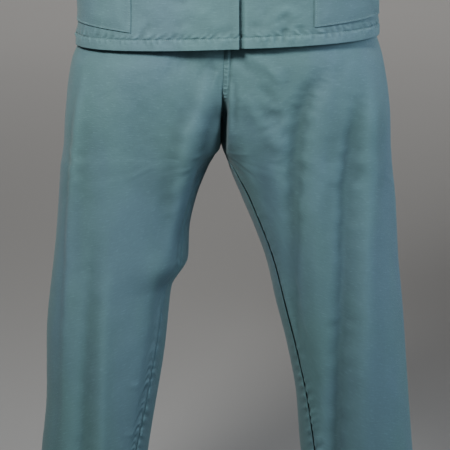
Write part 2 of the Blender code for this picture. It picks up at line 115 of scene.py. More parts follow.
# %% [markdown]
# ## The trousers' form
# Each leg is a squared oval at every height: wide across the hips, and narrowing to the hem.
# Above the crotch the two ovals meet at the middle seam; below it each leg closes on itself, and
# `turn` brings its inside seam a little way round to the front.

# %% Sizes of the trousers
WAIST, WAIST_SEAM, CROTCH, LEG_HEM = -0.460, -0.500, -0.816, -1.470
CREASE_TOP, CREASE_LOW = CROTCH + 0.156, CROTCH - 0.080
LEG_FOLD = 0.024
LEG_COLUMNS = "height outer inner front back square turn"
LEGS = {
    -1: measured(LEG_COLUMNS, """
    -460 165 -165 118 120 2.2 0; -540 184 -170 125 133 2.1 0; -600 200 -140 130.8 141 2.1 0;
    -666 217.2 -100 135.8 146 2.2 0; -690 226.6 -75 138.8 149.2 2.5 0;
    -724 232.3 -52 136.8 147.2 2.7 0; -765 235.8 -11 130.8 139.2 2.8 0;
    -816 239.8 0 121.8 128.2 2.6 0; -832 242 10 119.8 125.2 2.5 12;
    -851 245.3 19 116.8 122.2 2.4 24; -896 248.5 36 110 115 2.2 30; -950 253 47.5 105 109 2.1 30;
    -988 257 49 102 106 2.1 30; -1034 262.5 74 98 101 2.1 32; -1104 269 82 93 95 2.1 34;
    -1197 270.5 96 86 87 2.1 38; -1290 279.5 111 80 80 2.1 42; -1470 296 138 75 75 2.1 44""", 2),
    1: measured(LEG_COLUMNS, """
    -460 165 -165 118 120 2.2 0; -540 186 -170 125 133 2.1 0; -600 204 -140 130 141 2.1 0;
    -652 222.8 -100 134 146 2.2 0; -690 234 -75 138 148 2.5 0; -724 239.5 -52 136 146 2.7 0;
    -765 244 -11 130 138 2.8 0; -816 246.2 0 121 127 2.6 0; -832 247.8 6.5 119 124 2.5 13;
    -851 249.5 12 116 121 2.4 26; -896 254.5 30 110 115 2.2 30; -988 260 66 102 106 2.1 31;
    -1057 267 83 96 99 2.1 32; -1127 272.4 101 91 93 2.1 33; -1197 277.8 114 86 87 2.1 36;
    -1290 285.5 122 80 80 2.1 40; -1470 300 151 75 75 2.1 42""", 2)}


def seam_x(height):
    """The middle seam wanders a little sideways on its way to the crotch."""
    return mix(0.004, -0.006, np.clip((WAIST_SEAM - height) / (WAIST_SEAM - CROTCH), 0, 1))


def leg_oval(side, height, face):
    table = LEGS[side]
    outer = table.read(height, "outer")
    inner = side * seam_x(height) + table.read(height, "inner")
    depth = np.where(face < 0, table.read(height, "front"), table.read(height, "back"))
    return (outer + inner) / 2, (outer - inner) / 2, depth, table.read(height, "square")


def leg_point(side, angle, height):
    """A leg's cloth; angle 0 is its outer side and -90 degrees its front."""
    middle, half, depth, square = leg_oval(side, height, np.sign(np.sin(angle)))
    reach = oval_reach(angle, half, depth, square)
    x = side * (middle + reach * np.cos(angle))
    return np.stack([x, reach * np.sin(angle), height + 0 * x], -1)


def leg_edge(side, face, height):
    """Angle of a panel's inner edge: the middle seam, and below the crotch the inside seam."""
    middle, half, depth, square = leg_oval(side, height, face)
    upper = oval_angle(side * seam_x(height) - middle, half, depth, square, face)
    lower = face * math.pi + np.radians(LEGS[side].read(height, "turn"))
    return np.where(height <= CROTCH, lower, upper)


# %% [markdown]
# ## The top's form
# The body of the top is a squared oval down to its hem. Above the underarm it closes as a dome
# over the shoulders: `climb` is the angle up that dome, and the armhole bites in from the side.

# %% Sizes of the top
UNDERARM, TOP_HEM, TOP_FOLD, HEM_TILT = -0.270, -0.658, 0.016, 0.033
POCKET_TOP, POCKET_BOTTOM, POCKET_EDGE = -0.465, -0.632, {-1: 0.134, 1: 0.1275}
NECK_HALF, NECK_START, NECK_DIP = 0.085, math.radians(15), math.radians(34)
FRONT_OVERLAP, DOME_SQUARE = 0.020, 2.4
TOP = measured("height middle half front back square", """
    -270 2 236 135 130 2.6; -360 2 229 134 128 2.5; -450 2.5 220 138 134 2.5;
    -530 3 216.5 145 146 2.5; -600 3.3 218 151 158 2.5; -658 3.6 224 156 167 2.5""", 1)
ARMHOLE = Table("climb reach", (0.00, 0.2360), (0.10, 0.2200), (0.28, 0.2030), (0.60, 0.2060),
                (1.00, 0.2260))


def top_oval(height, face):
    depth = np.where(face < 0, TOP.read(height, "front"), TOP.read(height, "back"))
    return TOP.read(height, "middle"), TOP.read(height, "half"), depth, TOP.read(height, "square")


def top_point(angle, height, climb):
    middle, half, depth, square = top_oval(height, np.sign(np.sin(angle)))
    reach = oval_reach(angle, half, depth, square)
    x, y = middle + reach * np.cos(angle), reach * np.sin(angle)
    tilt = HEM_TILT * x * ease((UNDERARM - height) / (UNDERARM - TOP_HEM))
    dome = oval_reach(climb, 1.0, 1.0, DOME_SQUARE)
    shoulder = -math.tan(math.radians(20)) * np.maximum(0, np.abs(x) - NECK_HALF)
    rise = (shoulder - UNDERARM) * dome * np.sin(climb)
    return np.stack([x, y * dome * np.cos(climb), height + tilt + rise], -1)


def ring_angle(x, height, face):
    middle, half, depth, square = top_oval(height, face)
    return oval_angle(x - middle, half, depth, square, face)


def arm_angle(side, face, climb):
    """Angle of the side seam, or of the armhole's edge once above the underarm."""
    seam = 0.0 if side > 0 else face * math.pi
    share = climb / (math.pi / 2)
    off_middle = TOP.read(UNDERARM, "middle") * ease(1 - share / 0.083)
    reach = side * ARMHOLE.read(share, "reach") + off_middle
    return np.where(climb > 0, ring_angle(reach, UNDERARM, face), seam)


def neck_x(side, climb):
    """Where a front ends: its straight edge, then the slope of the neckline."""
    def lift(angle):
        return oval_reach(angle, 1, 1, DOME_SQUARE) * np.sin(angle)
    t = np.clip((lift(climb) - lift(NECK_START)) / (1 - lift(NECK_START)), 0, 1)
    return mix(-side * FRONT_OVERLAP, side * NECK_HALF, t)


# %% [markdown]
# ## From a form to a sheet of cloth
# A cloth panel is a grid of points on the form. Rows and columns lie closer together where the
# cloth is worked most: at its edges and along its stitching. Each point is then moved in or out
# for the creases, and the grid gets a second layer and a closed rim, which makes it a thin shell.

# %% Grids
def stations(length, step, *fine):
    """Places from 0 to length, step apart, and closer near each fine (place, reach, step)."""
    at = np.linspace(0, length, 6001)
    per_metre = np.full(at.shape, 1 / step)
    for place, reach, small in fine:
        per_metre = np.maximum(per_metre, bell(at - place, reach) / small)
    count = np.concatenate([[0], np.cumsum((per_metre[1:] + per_metre[:-1]) / 2 * np.diff(at))])
    return np.interp(np.linspace(0, count[-1], int(np.ceil(count[-1])) + 1), count, at)


def lengths(points, axis):
    """Distance run along each row (axis 1) or column (axis 0) of a grid."""
    steps = np.linalg.norm(np.diff(points, axis=axis), axis=-1)
    start = np.zeros_like(np.take(steps, [0], axis))
    return np.concatenate([start, np.cumsum(steps, axis)], axis)


def unit(vectors):
    return vectors / np.maximum(np.linalg.norm(vectors, axis=-1, keepdims=True), 1e-12)


def outward(points, joined=False):
    """Unit normals of a grid, away from the wearer."""
    if joined:      # the last column repeats the first
        wide = np.concatenate([points[:, -2:-1], points, points[:, 1:2]], 1)
        across = (wide[:, 2:] - wide[:, :-2]) / 2
    else:
        across = np.gradient(points, axis=1)
    normals = unit(np.cross(across, np.gradient(points, axis=0)))
    away = np.sum(normals * (points - points.mean(1, keepdims=True)))
    return normals * np.sign(away)


class Panel:
    """A grid of cloth with its normals, its run across and down, and its relief so far."""

    def __init__(self, points, joined=False):
        self.points, self.joined = points, joined
        self.normals = outward(points, joined)
        self.across, self.down = lengths(points, 1), lengths(points, 0)
        self.relief = np.zeros(points.shape[:2])
        self.layers = np.zeros(points.shape[:2])
        self.free = np.full(points.shape[:2], 1.0)      # distance to the nearest free edge

    @property
    def x(self):
        return self.points[..., 0]

    @property
    def z(self):
        return self.points[..., 2]

    def raised(self):
        """The points moved out by their relief, and the normals there."""
        made = self.points + self.normals * self.relief[..., None]
        return made, outward(made, self.joined)

    def to_last(self):
        """Distance to the last column."""
        return self.across[:, -1:] - self.across

    def to_end(self):
        """Distance to the last row."""
        return self.down[-1:] - self.down


# %% [markdown]
# ## Creases placed one by one
# Pressed cotton folds in long soft troughs and ridges, and each has its own length, depth and
# width. A crease is a path of (x, height, rise) rows on the panel. Its rise fades to both sides,
# and the two sides may be of different softness, as when cloth hangs over a sharp edge.

# %% Creases
def crease(panel, path, width, other):
    """Add one crease; width and other are its reach to the two sides of its path."""
    table = Table("step x height rise", *[(k, *row) for k, row in enumerate(path)])
    step = np.linspace(0, len(path) - 1, 5 * len(path))
    line = np.stack([table.read(step, name) for name in ("x", "height", "rise")], -1)
    grid, normals = panel.points.reshape(-1, 3), panel.normals.reshape(-1, 3)
    reach = 2.6 * max(width, other)
    near = (grid[:, 2] > line[:, 1].min() - reach) & (grid[:, 2] < line[:, 1].max() + reach)
    grid, normals = grid[near], normals[near]
    spots = np.array([grid[np.argmin((grid[:, 0] - x) ** 2 + (grid[:, 2] - z) ** 2)]
                      for x, z, _ in line])
    best, rise, hand = np.full(len(grid), 9.0), np.zeros(len(grid)), np.zeros(len(grid))
    for start, end, low, high in zip(spots, spots[1:], line[:, 2], line[1:, 2]):
        along = end - start
        size = max(along @ along, 1e-12)
        t = np.clip((grid - start) @ along / size, 0, 1)
        gap = grid - start - t[:, None] * along
        distance = np.linalg.norm(gap, axis=1)
        closer = distance < best
        best[closer], rise[closer] = distance[closer], mix(low, high, t)[closer]
        hand[closer] = np.sum(normals[closer] * np.cross(along, gap[closer]), axis=1)
    soft = np.where(hand > 0, width, other)
    added = np.zeros(near.shape)
    added[near] = rise * bell(best, soft)
    panel.relief += added.reshape(panel.relief.shape)


def folds(text):
    """Creases in millimetres, one to a line: two widths, then a path of x, height and rise."""
    made = []
    for line in text.replace(",\n", ",").strip().splitlines():
        widths, path = line.split(":")
        width, other = (float(size) / 1000 for size in widths.split())
        spots = [[float(size) / 1000 for size in spot.split()] for spot in path.split(",")]
        made.append((spots, width, other))
    return made


def bumps(place, length, pitch, seed, low=0.3):
    """Uneven soft bumps along a line, 0 to 1 high, about a pitch apart."""
    chance = np.random.RandomState(seed)
    total, at = np.zeros_like(place), -pitch
    while at < length + pitch:
        width = pitch * chance.uniform(0.22, 0.42)
        total += chance.uniform(low, 1) * bell(place - at, width)
        at += pitch * chance.uniform(0.55, 1.5)
    return total


def swell(across, down, size, seed):
    """A slow uneven swell, about -1 to 1, with patches a size apart."""
    lattice = np.random.RandomState(seed).uniform(-1, 1, (97, 97))
    a, b = across / size + 11.3, down / size + 23.7
    i, j = np.floor(a).astype(int), np.floor(b).astype(int)
    s, t = ease(a - i), ease(b - j)
    i, j = i % 96, j % 96
    low = mix(lattice[i, j], lattice[i + 1, j], s)
    return mix(low, mix(lattice[i, j + 1], lattice[i + 1, j + 1], s), t)


def crumple(panel, centre, reach, rise, seed, size, lean):
    """Soft lumps where cloth has been folded and shaken out, round a place (x, height)."""
    dx, dz = panel.x - centre[0], panel.z - centre[1]
    window = np.exp(-(dx / reach[0]) ** 2 - (dz / reach[1]) ** 2)
    lumps = swell(dx + lean * dz, dz * 0.8, size, seed)
    lumps += 0.5 * swell(dx - dz, dz, size / 2, seed + 1)
    panel.relief += rise * window * lumps


def seam(panel, distance, run, dip, pucker, pitch, reach, seed):
    """A sewn seam: cloth dips into it, and puckers that run off to one side."""
    dips = -dip * bell(distance, 0.0022)
    teeth = bumps(run + 0.35 * distance, run.max(), pitch, seed)
    fade = bell(distance, reach) * (1 - bell(distance, 0.002))
    panel.relief += dips + pucker * teeth * fade


def topstitch(panel, distance, run, pucker, pitch, reach, seed, dip=0.00035):
    """A row of stitches: a narrow groove between uneven puckers."""
    groove = -dip * bell(distance, 0.0015)
    teeth = bumps(run + 0.25 * distance, run.max(), pitch, seed) - 0.45
    teeth = teeth * bell(distance, reach) * (1 - 0.7 * bell(distance, 0.0012))
    panel.relief += groove + pucker * teeth


def gather(panel, distance, run, rise, pitch, seed):
    """Short slanting ripples where a hem's upper layer was pushed along by the machine."""
    total = run.max()
    above = bumps(run - 0.9 * distance, total, pitch, seed, 0.1) - 0.35
    below = bumps(run + 0.3 * distance, total, 0.8 * pitch, seed + 1, 0.1) - 0.35
    up = bell(distance - 0.0032, 0.0036)
    down = bell(distance + 0.0034, 0.0028)
    uneven = 1.0 + 0.7 * swell(run, 0 * run, 0.026, seed + 2)
    panel.relief += rise * uneven * (above * up + 0.7 * below * down)


# %% [markdown]
# ## Closing a sheet
# The weave is about half a millimetre thick. At a hem the cloth is turned up and sewn down, so
# the wall is doubled there, with a rounded edge. The shell keeps its own UV map, which is the flat
# cloth in metres: the weave is drawn on it, so the threads turn with the cloth.

# %% Shells
LAYER = 0.0007                # one layer of cloth with its crimp
FOLD_WALL = 0.0018            # a turned and stitched hem


def face_table(rows, columns):
    index = np.arange(rows * columns).reshape(rows, columns)
    corners = index[:-1, :-1], index[:-1, 1:], index[1:, 1:], index[1:, :-1]
    return np.stack(corners, -1).reshape(-1, 4)


def rim(line, offset):
    """Faces that close a run of points to its partners on the other layer."""
    return np.stack([line[1:], line[:-1], line[:-1] + offset, line[1:] + offset], -1)


def soften(grid, times=14):
    for _ in range(times):
        wide = np.pad(grid, 1, mode="edge")
        beside = wide[:-2, 1:-1] + wide[2:, 1:-1] + wide[1:-1, :-2] + wide[1:-1, 2:]
        grid = (beside + 4 * grid) / 8
    return grid


def layers_of(panel):
    """Outer and inner points of a panel, drawn together in a half round at its free edges."""
    raised, normals = panel.raised()
    wall = LAYER + (FOLD_WALL - LAYER) * panel.layers
    depth = np.clip(1 - panel.free / (wall / 2), 0, 0.94)
    roll = wall / 2 * (1 - np.sqrt(1 - depth**2))
    return raised - normals * roll[..., None], raised - normals * (wall - roll)[..., None]


def shell(name, panel, material):
    """Close a panel into a thin shell that rides with the suit and stands for its node."""
    if panel.joined:
        panel.relief[:, -1] = panel.relief[:, 0]
    outer, inner = layers_of(panel)
    rows, columns = panel.x.shape
    count = rows * columns
    index = np.arange(count).reshape(rows, columns)
    front = face_table(rows, columns)
    faces = [front, front[:, ::-1] + count, rim(index[0], count), rim(index[-1][::-1], count)]
    if not panel.joined:
        faces += [rim(index[::-1, 0], count), rim(index[:, -1], count)]
    faces = np.concatenate(faces)
    a, b, _, d = outer.reshape(-1, 3)[front[len(front) // 2]]
    if np.cross(b - a, d - a) @ panel.normals[rows // 2, columns // 2] < 0:
        faces = faces[:, ::-1]
    mesh = bpy.data.meshes.new(name)
    mesh.from_pydata(np.concatenate([outer.reshape(-1, 3), inner.reshape(-1, 3)]), [], faces)
    flat = np.stack([panel.across, panel.down], -1).reshape(-1, 2)
    flat = np.concatenate([flat, flat])[faces.reshape(-1)]
    mesh.uv_layers.new(name="cloth").data.foreach_set("uv", flat.ravel())
    # Painted highlight on raised cloth and painted shade in its grooves: the relief above its local
    # mean, kept for the colour.
    painted_relief_shade = np.clip((panel.relief - soften(panel.relief)) / 0.0008, -1, 1)
    for title, grid in (("painted_relief_shade", painted_relief_shade), ("layers", panel.layers)):
        both = np.concatenate([grid.ravel(), grid.ravel()])
        mesh.attributes.new(title, "FLOAT", "POINT").data.foreach_set("value", both)
    if panel.joined:
        merge_seam(mesh)
    mesh.shade_smooth()
    mesh.set_sharp_from_angle(angle=math.radians(70))
    area = sum(face.area for face in mesh.polygons) / 2
    print(f"{name}: {2 * len(faces)} triangles, {area:.4f} m2, relief"
          f" {1000 * panel.relief.min():.1f} to {1000 * panel.relief.max():.1f} mm")
    return add_piece(name, mesh, material)


def add_piece(name, mesh, material):
    """Put a mesh in the scene as a piece that rides with the suit."""
    mesh.materials.append(material)
    piece = bpy.data.objects.new(name, mesh)
    bpy.context.scene.collection.objects.link(piece)
    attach(piece, "root")
    return piece


def merge_seam(mesh):
    """Join the first and last columns of a tube."""
    work = bmesh.new()
    work.from_mesh(mesh)
    bmesh.ops.remove_doubles(work, verts=work.verts, dist=1e-6)
    work.to_mesh(mesh)
    work.free()


# %% [markdown]
# ## Thread
# Each line of sewing is one mesh of many small stitches. One stitch is a short spindle of thread
# that rises from the cloth and goes back into it. It is modelled once, in numbers, and copied
# along a line that is traced on the finished cloth.

# %% Stitches
THREAD = 0.00026
STITCH, STITCH_PITCH = 0.0023, 0.0031
QUARTERS = [math.pi / 4 + k * math.pi / 2 for k in range(4)]
SPINDLE = np.array([(-0.5, 0, -0.6)]
                   + [(x, THREAD * 0.85 * math.cos(a), THREAD * (0.35 + 0.85 * math.sin(a)))
                      for x in (-0.30, 0.30) for a in QUARTERS] + [(0.5, 0, -0.6)])
SPINDLE[:, 0] *= STITCH
SPINDLE[[0, -1], 2] *= THREAD
SPINDLE_FACES = ([(0, 1 + (k + 1) % 4, 1 + k) for k in range(4)]
                 + [(9, 5 + k, 5 + (k + 1) % 4) for k in range(4)]
                 + [(1 + k, 1 + (k + 1) % 4, 5 + (k + 1) % 4) for k in range(4)]
                 + [(1 + k, 5 + (k + 1) % 4, 5 + k) for k in range(4)])


def trace(panel, measure, value, down=True):
    """Points and normals on the finished cloth where measure passes value, column by column."""
    raised, normals = panel.raised()
    if not down:
        raised, normals, measure = raised.swapaxes(0, 1), normals.swapaxes(0, 1), measure.T
    above = measure >= value
    crossing = above[:-1] != above[1:]
    found = crossing.any(0)
    row, column = crossing.argmax(0)[found], np.nonzero(found)[0]
    before, after = measure[row, column], measure[row + 1, column]
    t = ((value - before) / (after - before))[:, None]
    place = mix(raised[row, column], raised[row + 1, column], t)
    return place, mix(normals[row, column], normals[row + 1, column], t)


def sew(name, lines, material):
    """One mesh of stitches along several traced lines."""
    verts, faces = [], []
    for line, normals in lines:
        run = np.concatenate([[0], np.cumsum(np.linalg.norm(np.diff(line, axis=0), axis=1))])
        places = np.arange(STITCH_PITCH, run[-1] - STITCH_PITCH / 2, STITCH_PITCH)
        def at(table, where):
            return np.stack([np.interp(where, run, table[:, k]) for k in range(3)], -1)
        middle, up = at(line, places), at(normals, places)
        along = unit(at(line, places + 0.0008) - at(line, places - 0.0008))
        side = np.cross(up, along)
        frame_of = np.stack([along, side, up], 1)
        made = middle[:, None] + np.einsum("vk,nkj->nvj", SPINDLE, frame_of)
        start = 10 * (sum(len(block) for block in verts) // 10 + np.arange(len(places)))
        verts.append(made.reshape(-1, 3))
        faces.append((start[:, None, None] + np.array(SPINDLE_FACES)).reshape(-1, 3))
    mesh = bpy.data.meshes.new(name)
    mesh.from_pydata(np.concatenate(verts), [], np.concatenate(faces))
    mesh.shade_smooth()
    print(name, len(mesh.vertices) // 10, "stitches")
    return add_piece(name, mesh, material)


# %% [markdown]
# ## The cloth's finish
# Scrubs are a plain weave of cotton and polyester: matt, a little uneven in its dye, with slubs
# (thicker bits of thread) that run along both directions of the weave. The colour gets lighter
# where the cloth is doubled. A painted highlight lightens it on a crest, and painted shade darkens
# it in a groove. The weave itself is far too fine for faces, so it is a bump, drawn on the flat
# cloth.

# %% Sums with sockets
class Wire:
    """One output of a node. Sums with it add Math nodes."""

    def __init__(self, shader, socket):
        self.shader, self.socket = shader, socket

    def out(self, number):
        return Wire(self.shader, self.socket.node.outputs[number])

    def sum(self, kind, first, second=0.0):
        return self.shader.node("Math", {"operation": kind}, {0: first, 1: second})

    def __add__(self, other):
        return self.sum("ADD", self, other)

    def __sub__(self, other):
        return self.sum("SUBTRACT", self, other)

    def __mul__(self, other):
        return self.sum("MULTIPLY", self, other)

    __radd__, __rmul__ = __add__, __mul__

    def sine(self):
        return self.sum("SINE", self)

    def above(self, level, gain):
        """How far this passes a level, times gain, kept from 0 to 1."""
        return self.shader.node("Math", {"operation": "MULTIPLY", "use_clamp": True},
                                {0: self - level, 1: gain})


class Shader:
    """A material and the nodes that feed its shader."""

    def __init__(self, name, **constants):
        self.material = bpy.data.materials.new(name)
        self.material.use_nodes = True
        self.tree = self.material.node_tree
        self.skin = self.tree.nodes["Principled BSDF"]
        for title, value in constants.items():
            self.skin.inputs[title.replace("_", " ")].default_value = value

    def node(self, kind, settings, sockets):
        made = self.tree.nodes.new("ShaderNode" + kind)
        for title, value in settings.items():
            setattr(made, title, value)
        for title, value in sockets.items():
            self.join(value, made.inputs[title])
        return Wire(self, made.outputs[0])

    def join(self, value, socket):
        if isinstance(value, Wire):
            self.tree.links.new(value.socket, socket)
        else:
            socket.default_value = value


# %% Cloth and thread
THREADS = 2 * math.pi / 0.0005          # one wave to two threads


def cloth_material(name, colour, bluer):
    shader = Shader(name, Roughness=0.78, Sheen_Weight=0.07, Sheen_Roughness=0.40,
                    Specular_IOR_Level=0.30)
    flat = shader.node("UVMap", {"uv_map": "cloth"}, {})

    def noise(place, waves, detail):
        """Noise with so many waves to the metre in each direction."""
        fine = shader.node("VectorMath", {"operation": "MULTIPLY"}, {0: place, 1: waves})
        return shader.node("TexNoise", {}, {"Vector": fine, "Scale": 1.0, "Detail": detail})

    weft = noise(flat, (120, 560, 1), 1).above(0.60, 7.0)
    warp = noise(flat, (640, 60, 1), 1).above(0.64, 7.0)
    yarn = noise(flat, (45, 520, 1), 2)
    fleck = noise(flat, (300, 420, 1), 2)
    hung = shader.node("TexCoord", {}, {}).out(3)
    patch = noise(hung, (11, 11, 3.5), 3)
    other = noise(hung, (31, 31, 31), 2)
    painted_relief_shade = shader.node("Attribute", {"attribute_name": "painted_relief_shade"}, {}).out(2)
    doubled = shader.node("Attribute", {"attribute_name": "layers"}, {}).out(2)
    # The relief term below paints a highlight on crests and shade in grooves.
    tone = (0.955 + weft * 0.20 + warp * 0.08 + (yarn - 0.5) * 0.18 + (fleck - 0.5) * 0.16
            + (patch - 0.5) * 0.12 + (other - 0.5) * 0.10 + painted_relief_shade * 0.16 + doubled * 0.07)
    hue = shader.node("Mix", {"data_type": "RGBA"},
                      {0: patch.above(0.38, 4.0), 6: colour, 7: bluer})
    tint = shader.node("VectorMath", {"operation": "SCALE"}, {0: hue.out(2), "Scale": tone})
    shader.join(tint, shader.skin.inputs["Base Color"])
    apart = shader.node("SeparateXYZ", {}, {0: flat})
    weave = (apart.out(0) * THREADS).sine() * (apart.out(1) * THREADS).sine()
    height = weave * 0.35 + weft * 1.2 + warp * 0.6 + fleck * 0.9 + yarn * 0.8
    bump = shader.node("Bump", {}, {"Strength": 0.6, "Distance": 0.0002, "Height": height})
    shader.join(bump, shader.skin.inputs["Normal"])
    return shader.material


def mottled_material(name, colour, scale, detail, swing, bump=None, **constants):
    """A colour that a noise makes lighter and darker; bump is its strength and depth."""
    shader = Shader(name, **constants)
    place = shader.node("TexCoord", {}, {}).out(3)
    cloud = shader.node("TexNoise", {}, {"Vector": place, "Scale": scale, "Detail": detail})
    tint = shader.node("VectorMath", {"operation": "SCALE"},
                       {0: colour, "Scale": 1 - swing / 2 + cloud * swing})
    shader.join(tint, shader.skin.inputs["Base Color"])
    if bump:
        relief = {"Strength": bump[0], "Distance": bump[1], "Height": cloud}
        shader.join(shader.node("Bump", {}, relief), shader.skin.inputs["Normal"])
    return shader.material


TEAL = (0.092, 0.182, 0.194, 1)
TROUSER_TEAL = (0.089, 0.177, 0.190, 1)
top_weave = cloth_material("teal_plain_weave_top", TEAL, (0.090, 0.165, 0.195, 1))
trouser_weave = cloth_material("teal_plain_weave_trousers", TROUSER_TEAL, (0.086, 0.160, 0.196, 1))
top_thread = mottled_material("teal_thread", (0.150, 0.280, 0.290), 2600, 1, 0.3, (0.4, 0.0001),
                              Roughness=0.55, Sheen_Weight=0.3, Sheen_Roughness=0.4)
print("finishes:", [m.name for m in (top_weave, trouser_weave, top_thread)])


# %% [markdown]
# ## Trouser legs
# Each leg is a front panel and a back panel, joined at the outer side and along the inside leg.
# A panel's rows fan out near the crotch, where the cloth turns most. The fabric hangs from the
# hip, so its main creases run down the leg. They were set one by one, from the ridge beside the
# crotch to the long hollows over the shin, and the backs get similar ones.

# %% The grid of a leg panel
FAN_SPLIT = -0.837            # height of the outer side's row that meets the crotch
HIDDEN = 0.120                # the length of a leg that the top covers, where rows can be wide
PANEL_RUN = 0.27              # a panel's width, for spacing its columns
PAST_FOLD = 0.0008            # a hem's second layer ends this far above its fold line


def leg_heights(step, *fine):
    """Heights of a panel's rows at its inner edge and at its outer side."""
    hidden = -stations(HIDDEN, 0.008)
    shown = LEG_HEM - WAIST_SEAM + HIDDEN
    fold_line = -shown - LEG_FOLD
    worked = -stations(-shown, step, (-shown, 0.0012, 0.0003), (fold_line, 0.004, 0.0010),
                       (fold_line + 0.0015, 0.0006, 0.0004), *fine)
    outside = WAIST_SEAM + np.concatenate([hidden[:-1], worked - HIDDEN])
    over = np.clip((CREASE_TOP - outside) / (CREASE_TOP - FAN_SPLIT), 0, 1)
    under = np.clip((FAN_SPLIT - outside) / (FAN_SPLIT - CREASE_LOW), 0, 1)
    upper = CROTCH + (CREASE_TOP - CROTCH) * (1 - over) ** 1.7
    lower = CROTCH - (CROTCH - CREASE_LOW) * under**1.7
    inside = np.where(outside > FAN_SPLIT, upper, lower)
    fan = (outside < CREASE_TOP) & (outside > CREASE_LOW)
    return np.where(fan, inside, outside), outside


SHELF = measured("height depth", """
    -700 0; -724 4; -745 13; -765 23; -785 27; -800 24; -815 18; -835 11; -862 4; -900 0""")
SHELF_START, SHELF_WALL, SHELF_REACH = {-1: 0.0, 1: 0.0064}, {-1: 0.0026, 1: 0.0040}, 0.028


def with_shelf(side, points):
    """Both thighs stand forward up to the middle seam, and fold back into it as a dark slit."""
    height, wall = points[..., 2], SHELF_WALL[side]
    past = side * (points[..., 0] - seam_x(height)) - SHELF_START[side]
    fall = np.exp(-np.maximum(0, past - wall) / SHELF_REACH)
    held = mix(1.0, ease(lengths(points, 1) / 0.035), ease((CROTCH + 0.004 - height) / 0.014))
    points[..., 1] -= SHELF.read(height, "depth") * ease(past / wall) * fall * held
    return points


def leg_panel(side, face, row_step, column_step):
    fine_rows = [(0.600, 0.170, 0.0027)]        # over the shins, and on a front below the top
    if face < 0:
        fine_rows.append((0.080, 0.045, 0.0013))
    inside, outside = leg_heights(row_step, *fine_rows)
    t = stations(PANEL_RUN, column_step, (0, 0.011, 0.0008), (PANEL_RUN, 0.002, 0.0007)) / PANEL_RUN
    edge = leg_edge(side, face, inside)[:, None]
    height = mix(inside[:, None], outside[:, None], ease(t[None]))
    points = leg_point(side, edge * (1 - t), height)
    panel = Panel(with_shelf(side, points) if face < 0 else points)
    panel.layers = (panel.z < LEG_HEM + LEG_FOLD + PAST_FOLD) * 1.0
    panel.free = panel.z - LEG_HEM
    return panel


# %% Creases of the trouser fronts
RIGHT_THIGH = folds("""
22 13: -20 -685 0, -30 -728 4.6, -52 -791 7.2, -69 -879 7, -82 -950 3.6, -92 -1020 0
12 10: -10 -735 0, -27 -800 -2.4, -43 -870 -2.8, -56 -930 0
12 17: -88 -668 0, -58 -676 -3.6, -26 -686 -6, -6 -694 -3
13 10: -203 -690 0, -213 -774 3.5, -220 -844 4, -226 -923 4, -231 -1030 3.5, -236 -1150 3,
    -243 -1300 2, -250 -1450 0
15 12: -188 -930 0, -197 -1000 -3, -203 -1113 -6, -207 -1191 -7.5, -211 -1267 -8, -219 -1360 -7,
    -226 -1466 -5
10 14: -170 -960 0, -182 -1080 2.5, -186 -1200 3.2, -190 -1350 3, -198 -1466 1.5
26 30: -150 -700 0, -128 -760 -2.2, -120 -850 -3, -128 -960 -2.4, -140 -1080 0
12 18: -98 -960 0, -112 -1030 2.2, -126 -1120 2.6, -142 -1230 1.8, -156 -1330 0
10 14: -52 -668 -1.5, -75 -690 -2, -100 -700 0
4 4: -128 -1160 0, -136 -1170 1.2, -144 -1166 0
4 5: -134 -1235 0, -142 -1248 1.4, -152 -1246 0
""")
LEFT_THIGH = folds("""
11 13: 152 -676 0, 142 -690 -1.4, 132 -708 -3.6, 118 -731 -6.5, 108 -777 -7.8, 102 -830 -7.8,
    101 -896 -6.8, 100 -980 -5, 102 -1050 -4, 106 -1120 0
15 13: 196 -725 0, 190 -760 -3.6, 184 -810 -6.2, 179 -870 -8, 177 -938 -8.8, 174 -1040 -10,
    169 -1116 -11.5, 165 -1226 -11.5, 163 -1340 -10, 164 -1466 -7
14 18: 150 -720 0, 138 -780 3, 134 -850 3.5, 133 -960 3, 134 -1080 2.5, 134 -1200 0
16 12: 208 -690 0, 211 -760 3.5, 211 -860 4, 209 -960 4, 208 -1080 4, 206 -1200 3, 206 -1350 0
4 3: 10 -695 0, 14.5 -720 -1.6, 15.5 -757 -2, 14 -785 0
8 6: 12 -667 -1, 30 -684 -2.6, 50 -705 0
10 7: 30 -664 0, 58 -682 2.8, 74 -696 3, 86 -712 0
9 7: 46 -710 0, 62 -726 -3, 82 -744 0
10 9: 30 -720 0, 40 -745 2.6, 52 -765 2, 64 -775 0
7 10: 52 -748 0, 72 -756 -2.4, 90 -762 0
13 12: 60 -776 0, 74 -795 4.5, 86 -808 3.5, 88 -835 0
12 14: 24 -780 0, 34 -830 2.5, 50 -880 2, 66 -920 0
10 10: 180 -668 0, 165 -690 -2, 160 -712 0
4 4: 105 -1128 0, 112 -1134 1.6, 122 -1130 0
4 5: 128 -1250 0, 136 -1256 2.2, 147 -1250 0
4 4: 131 -1268 0, 139 -1276 2.4, 150 -1274 0
5 4: 133 -1290 0, 142 -1296 1.8, 152 -1292 0
""")
RIGHT_SEAT = folds("""
20 26: -12 -700 0, -60 -735 -6, -100 -790 -8, -118 -880 -7, -124 -1000 -6, -130 -1140 0
16 20: -30 -800 0, -70 -840 6, -100 -910 5, -112 -1010 0
18 22: -200 -720 0, -196 -830 -6, -204 -980 -7, -210 -1160 -8, -216 -1330 -6, -222 -1466 -4
20 16: -160 -760 0, -158 -900 4.5, -170 -1080 5, -186 -1280 4, -196 -1466 2
8 10: -30 -760 0, -56 -785 -4, -82 -800 0
10 7: -90 -985 0, -130 -1000 -3.5, -172 -990 0
9 8: -104 -1030 0, -140 -1050 -3, -186 -1046 0
""")
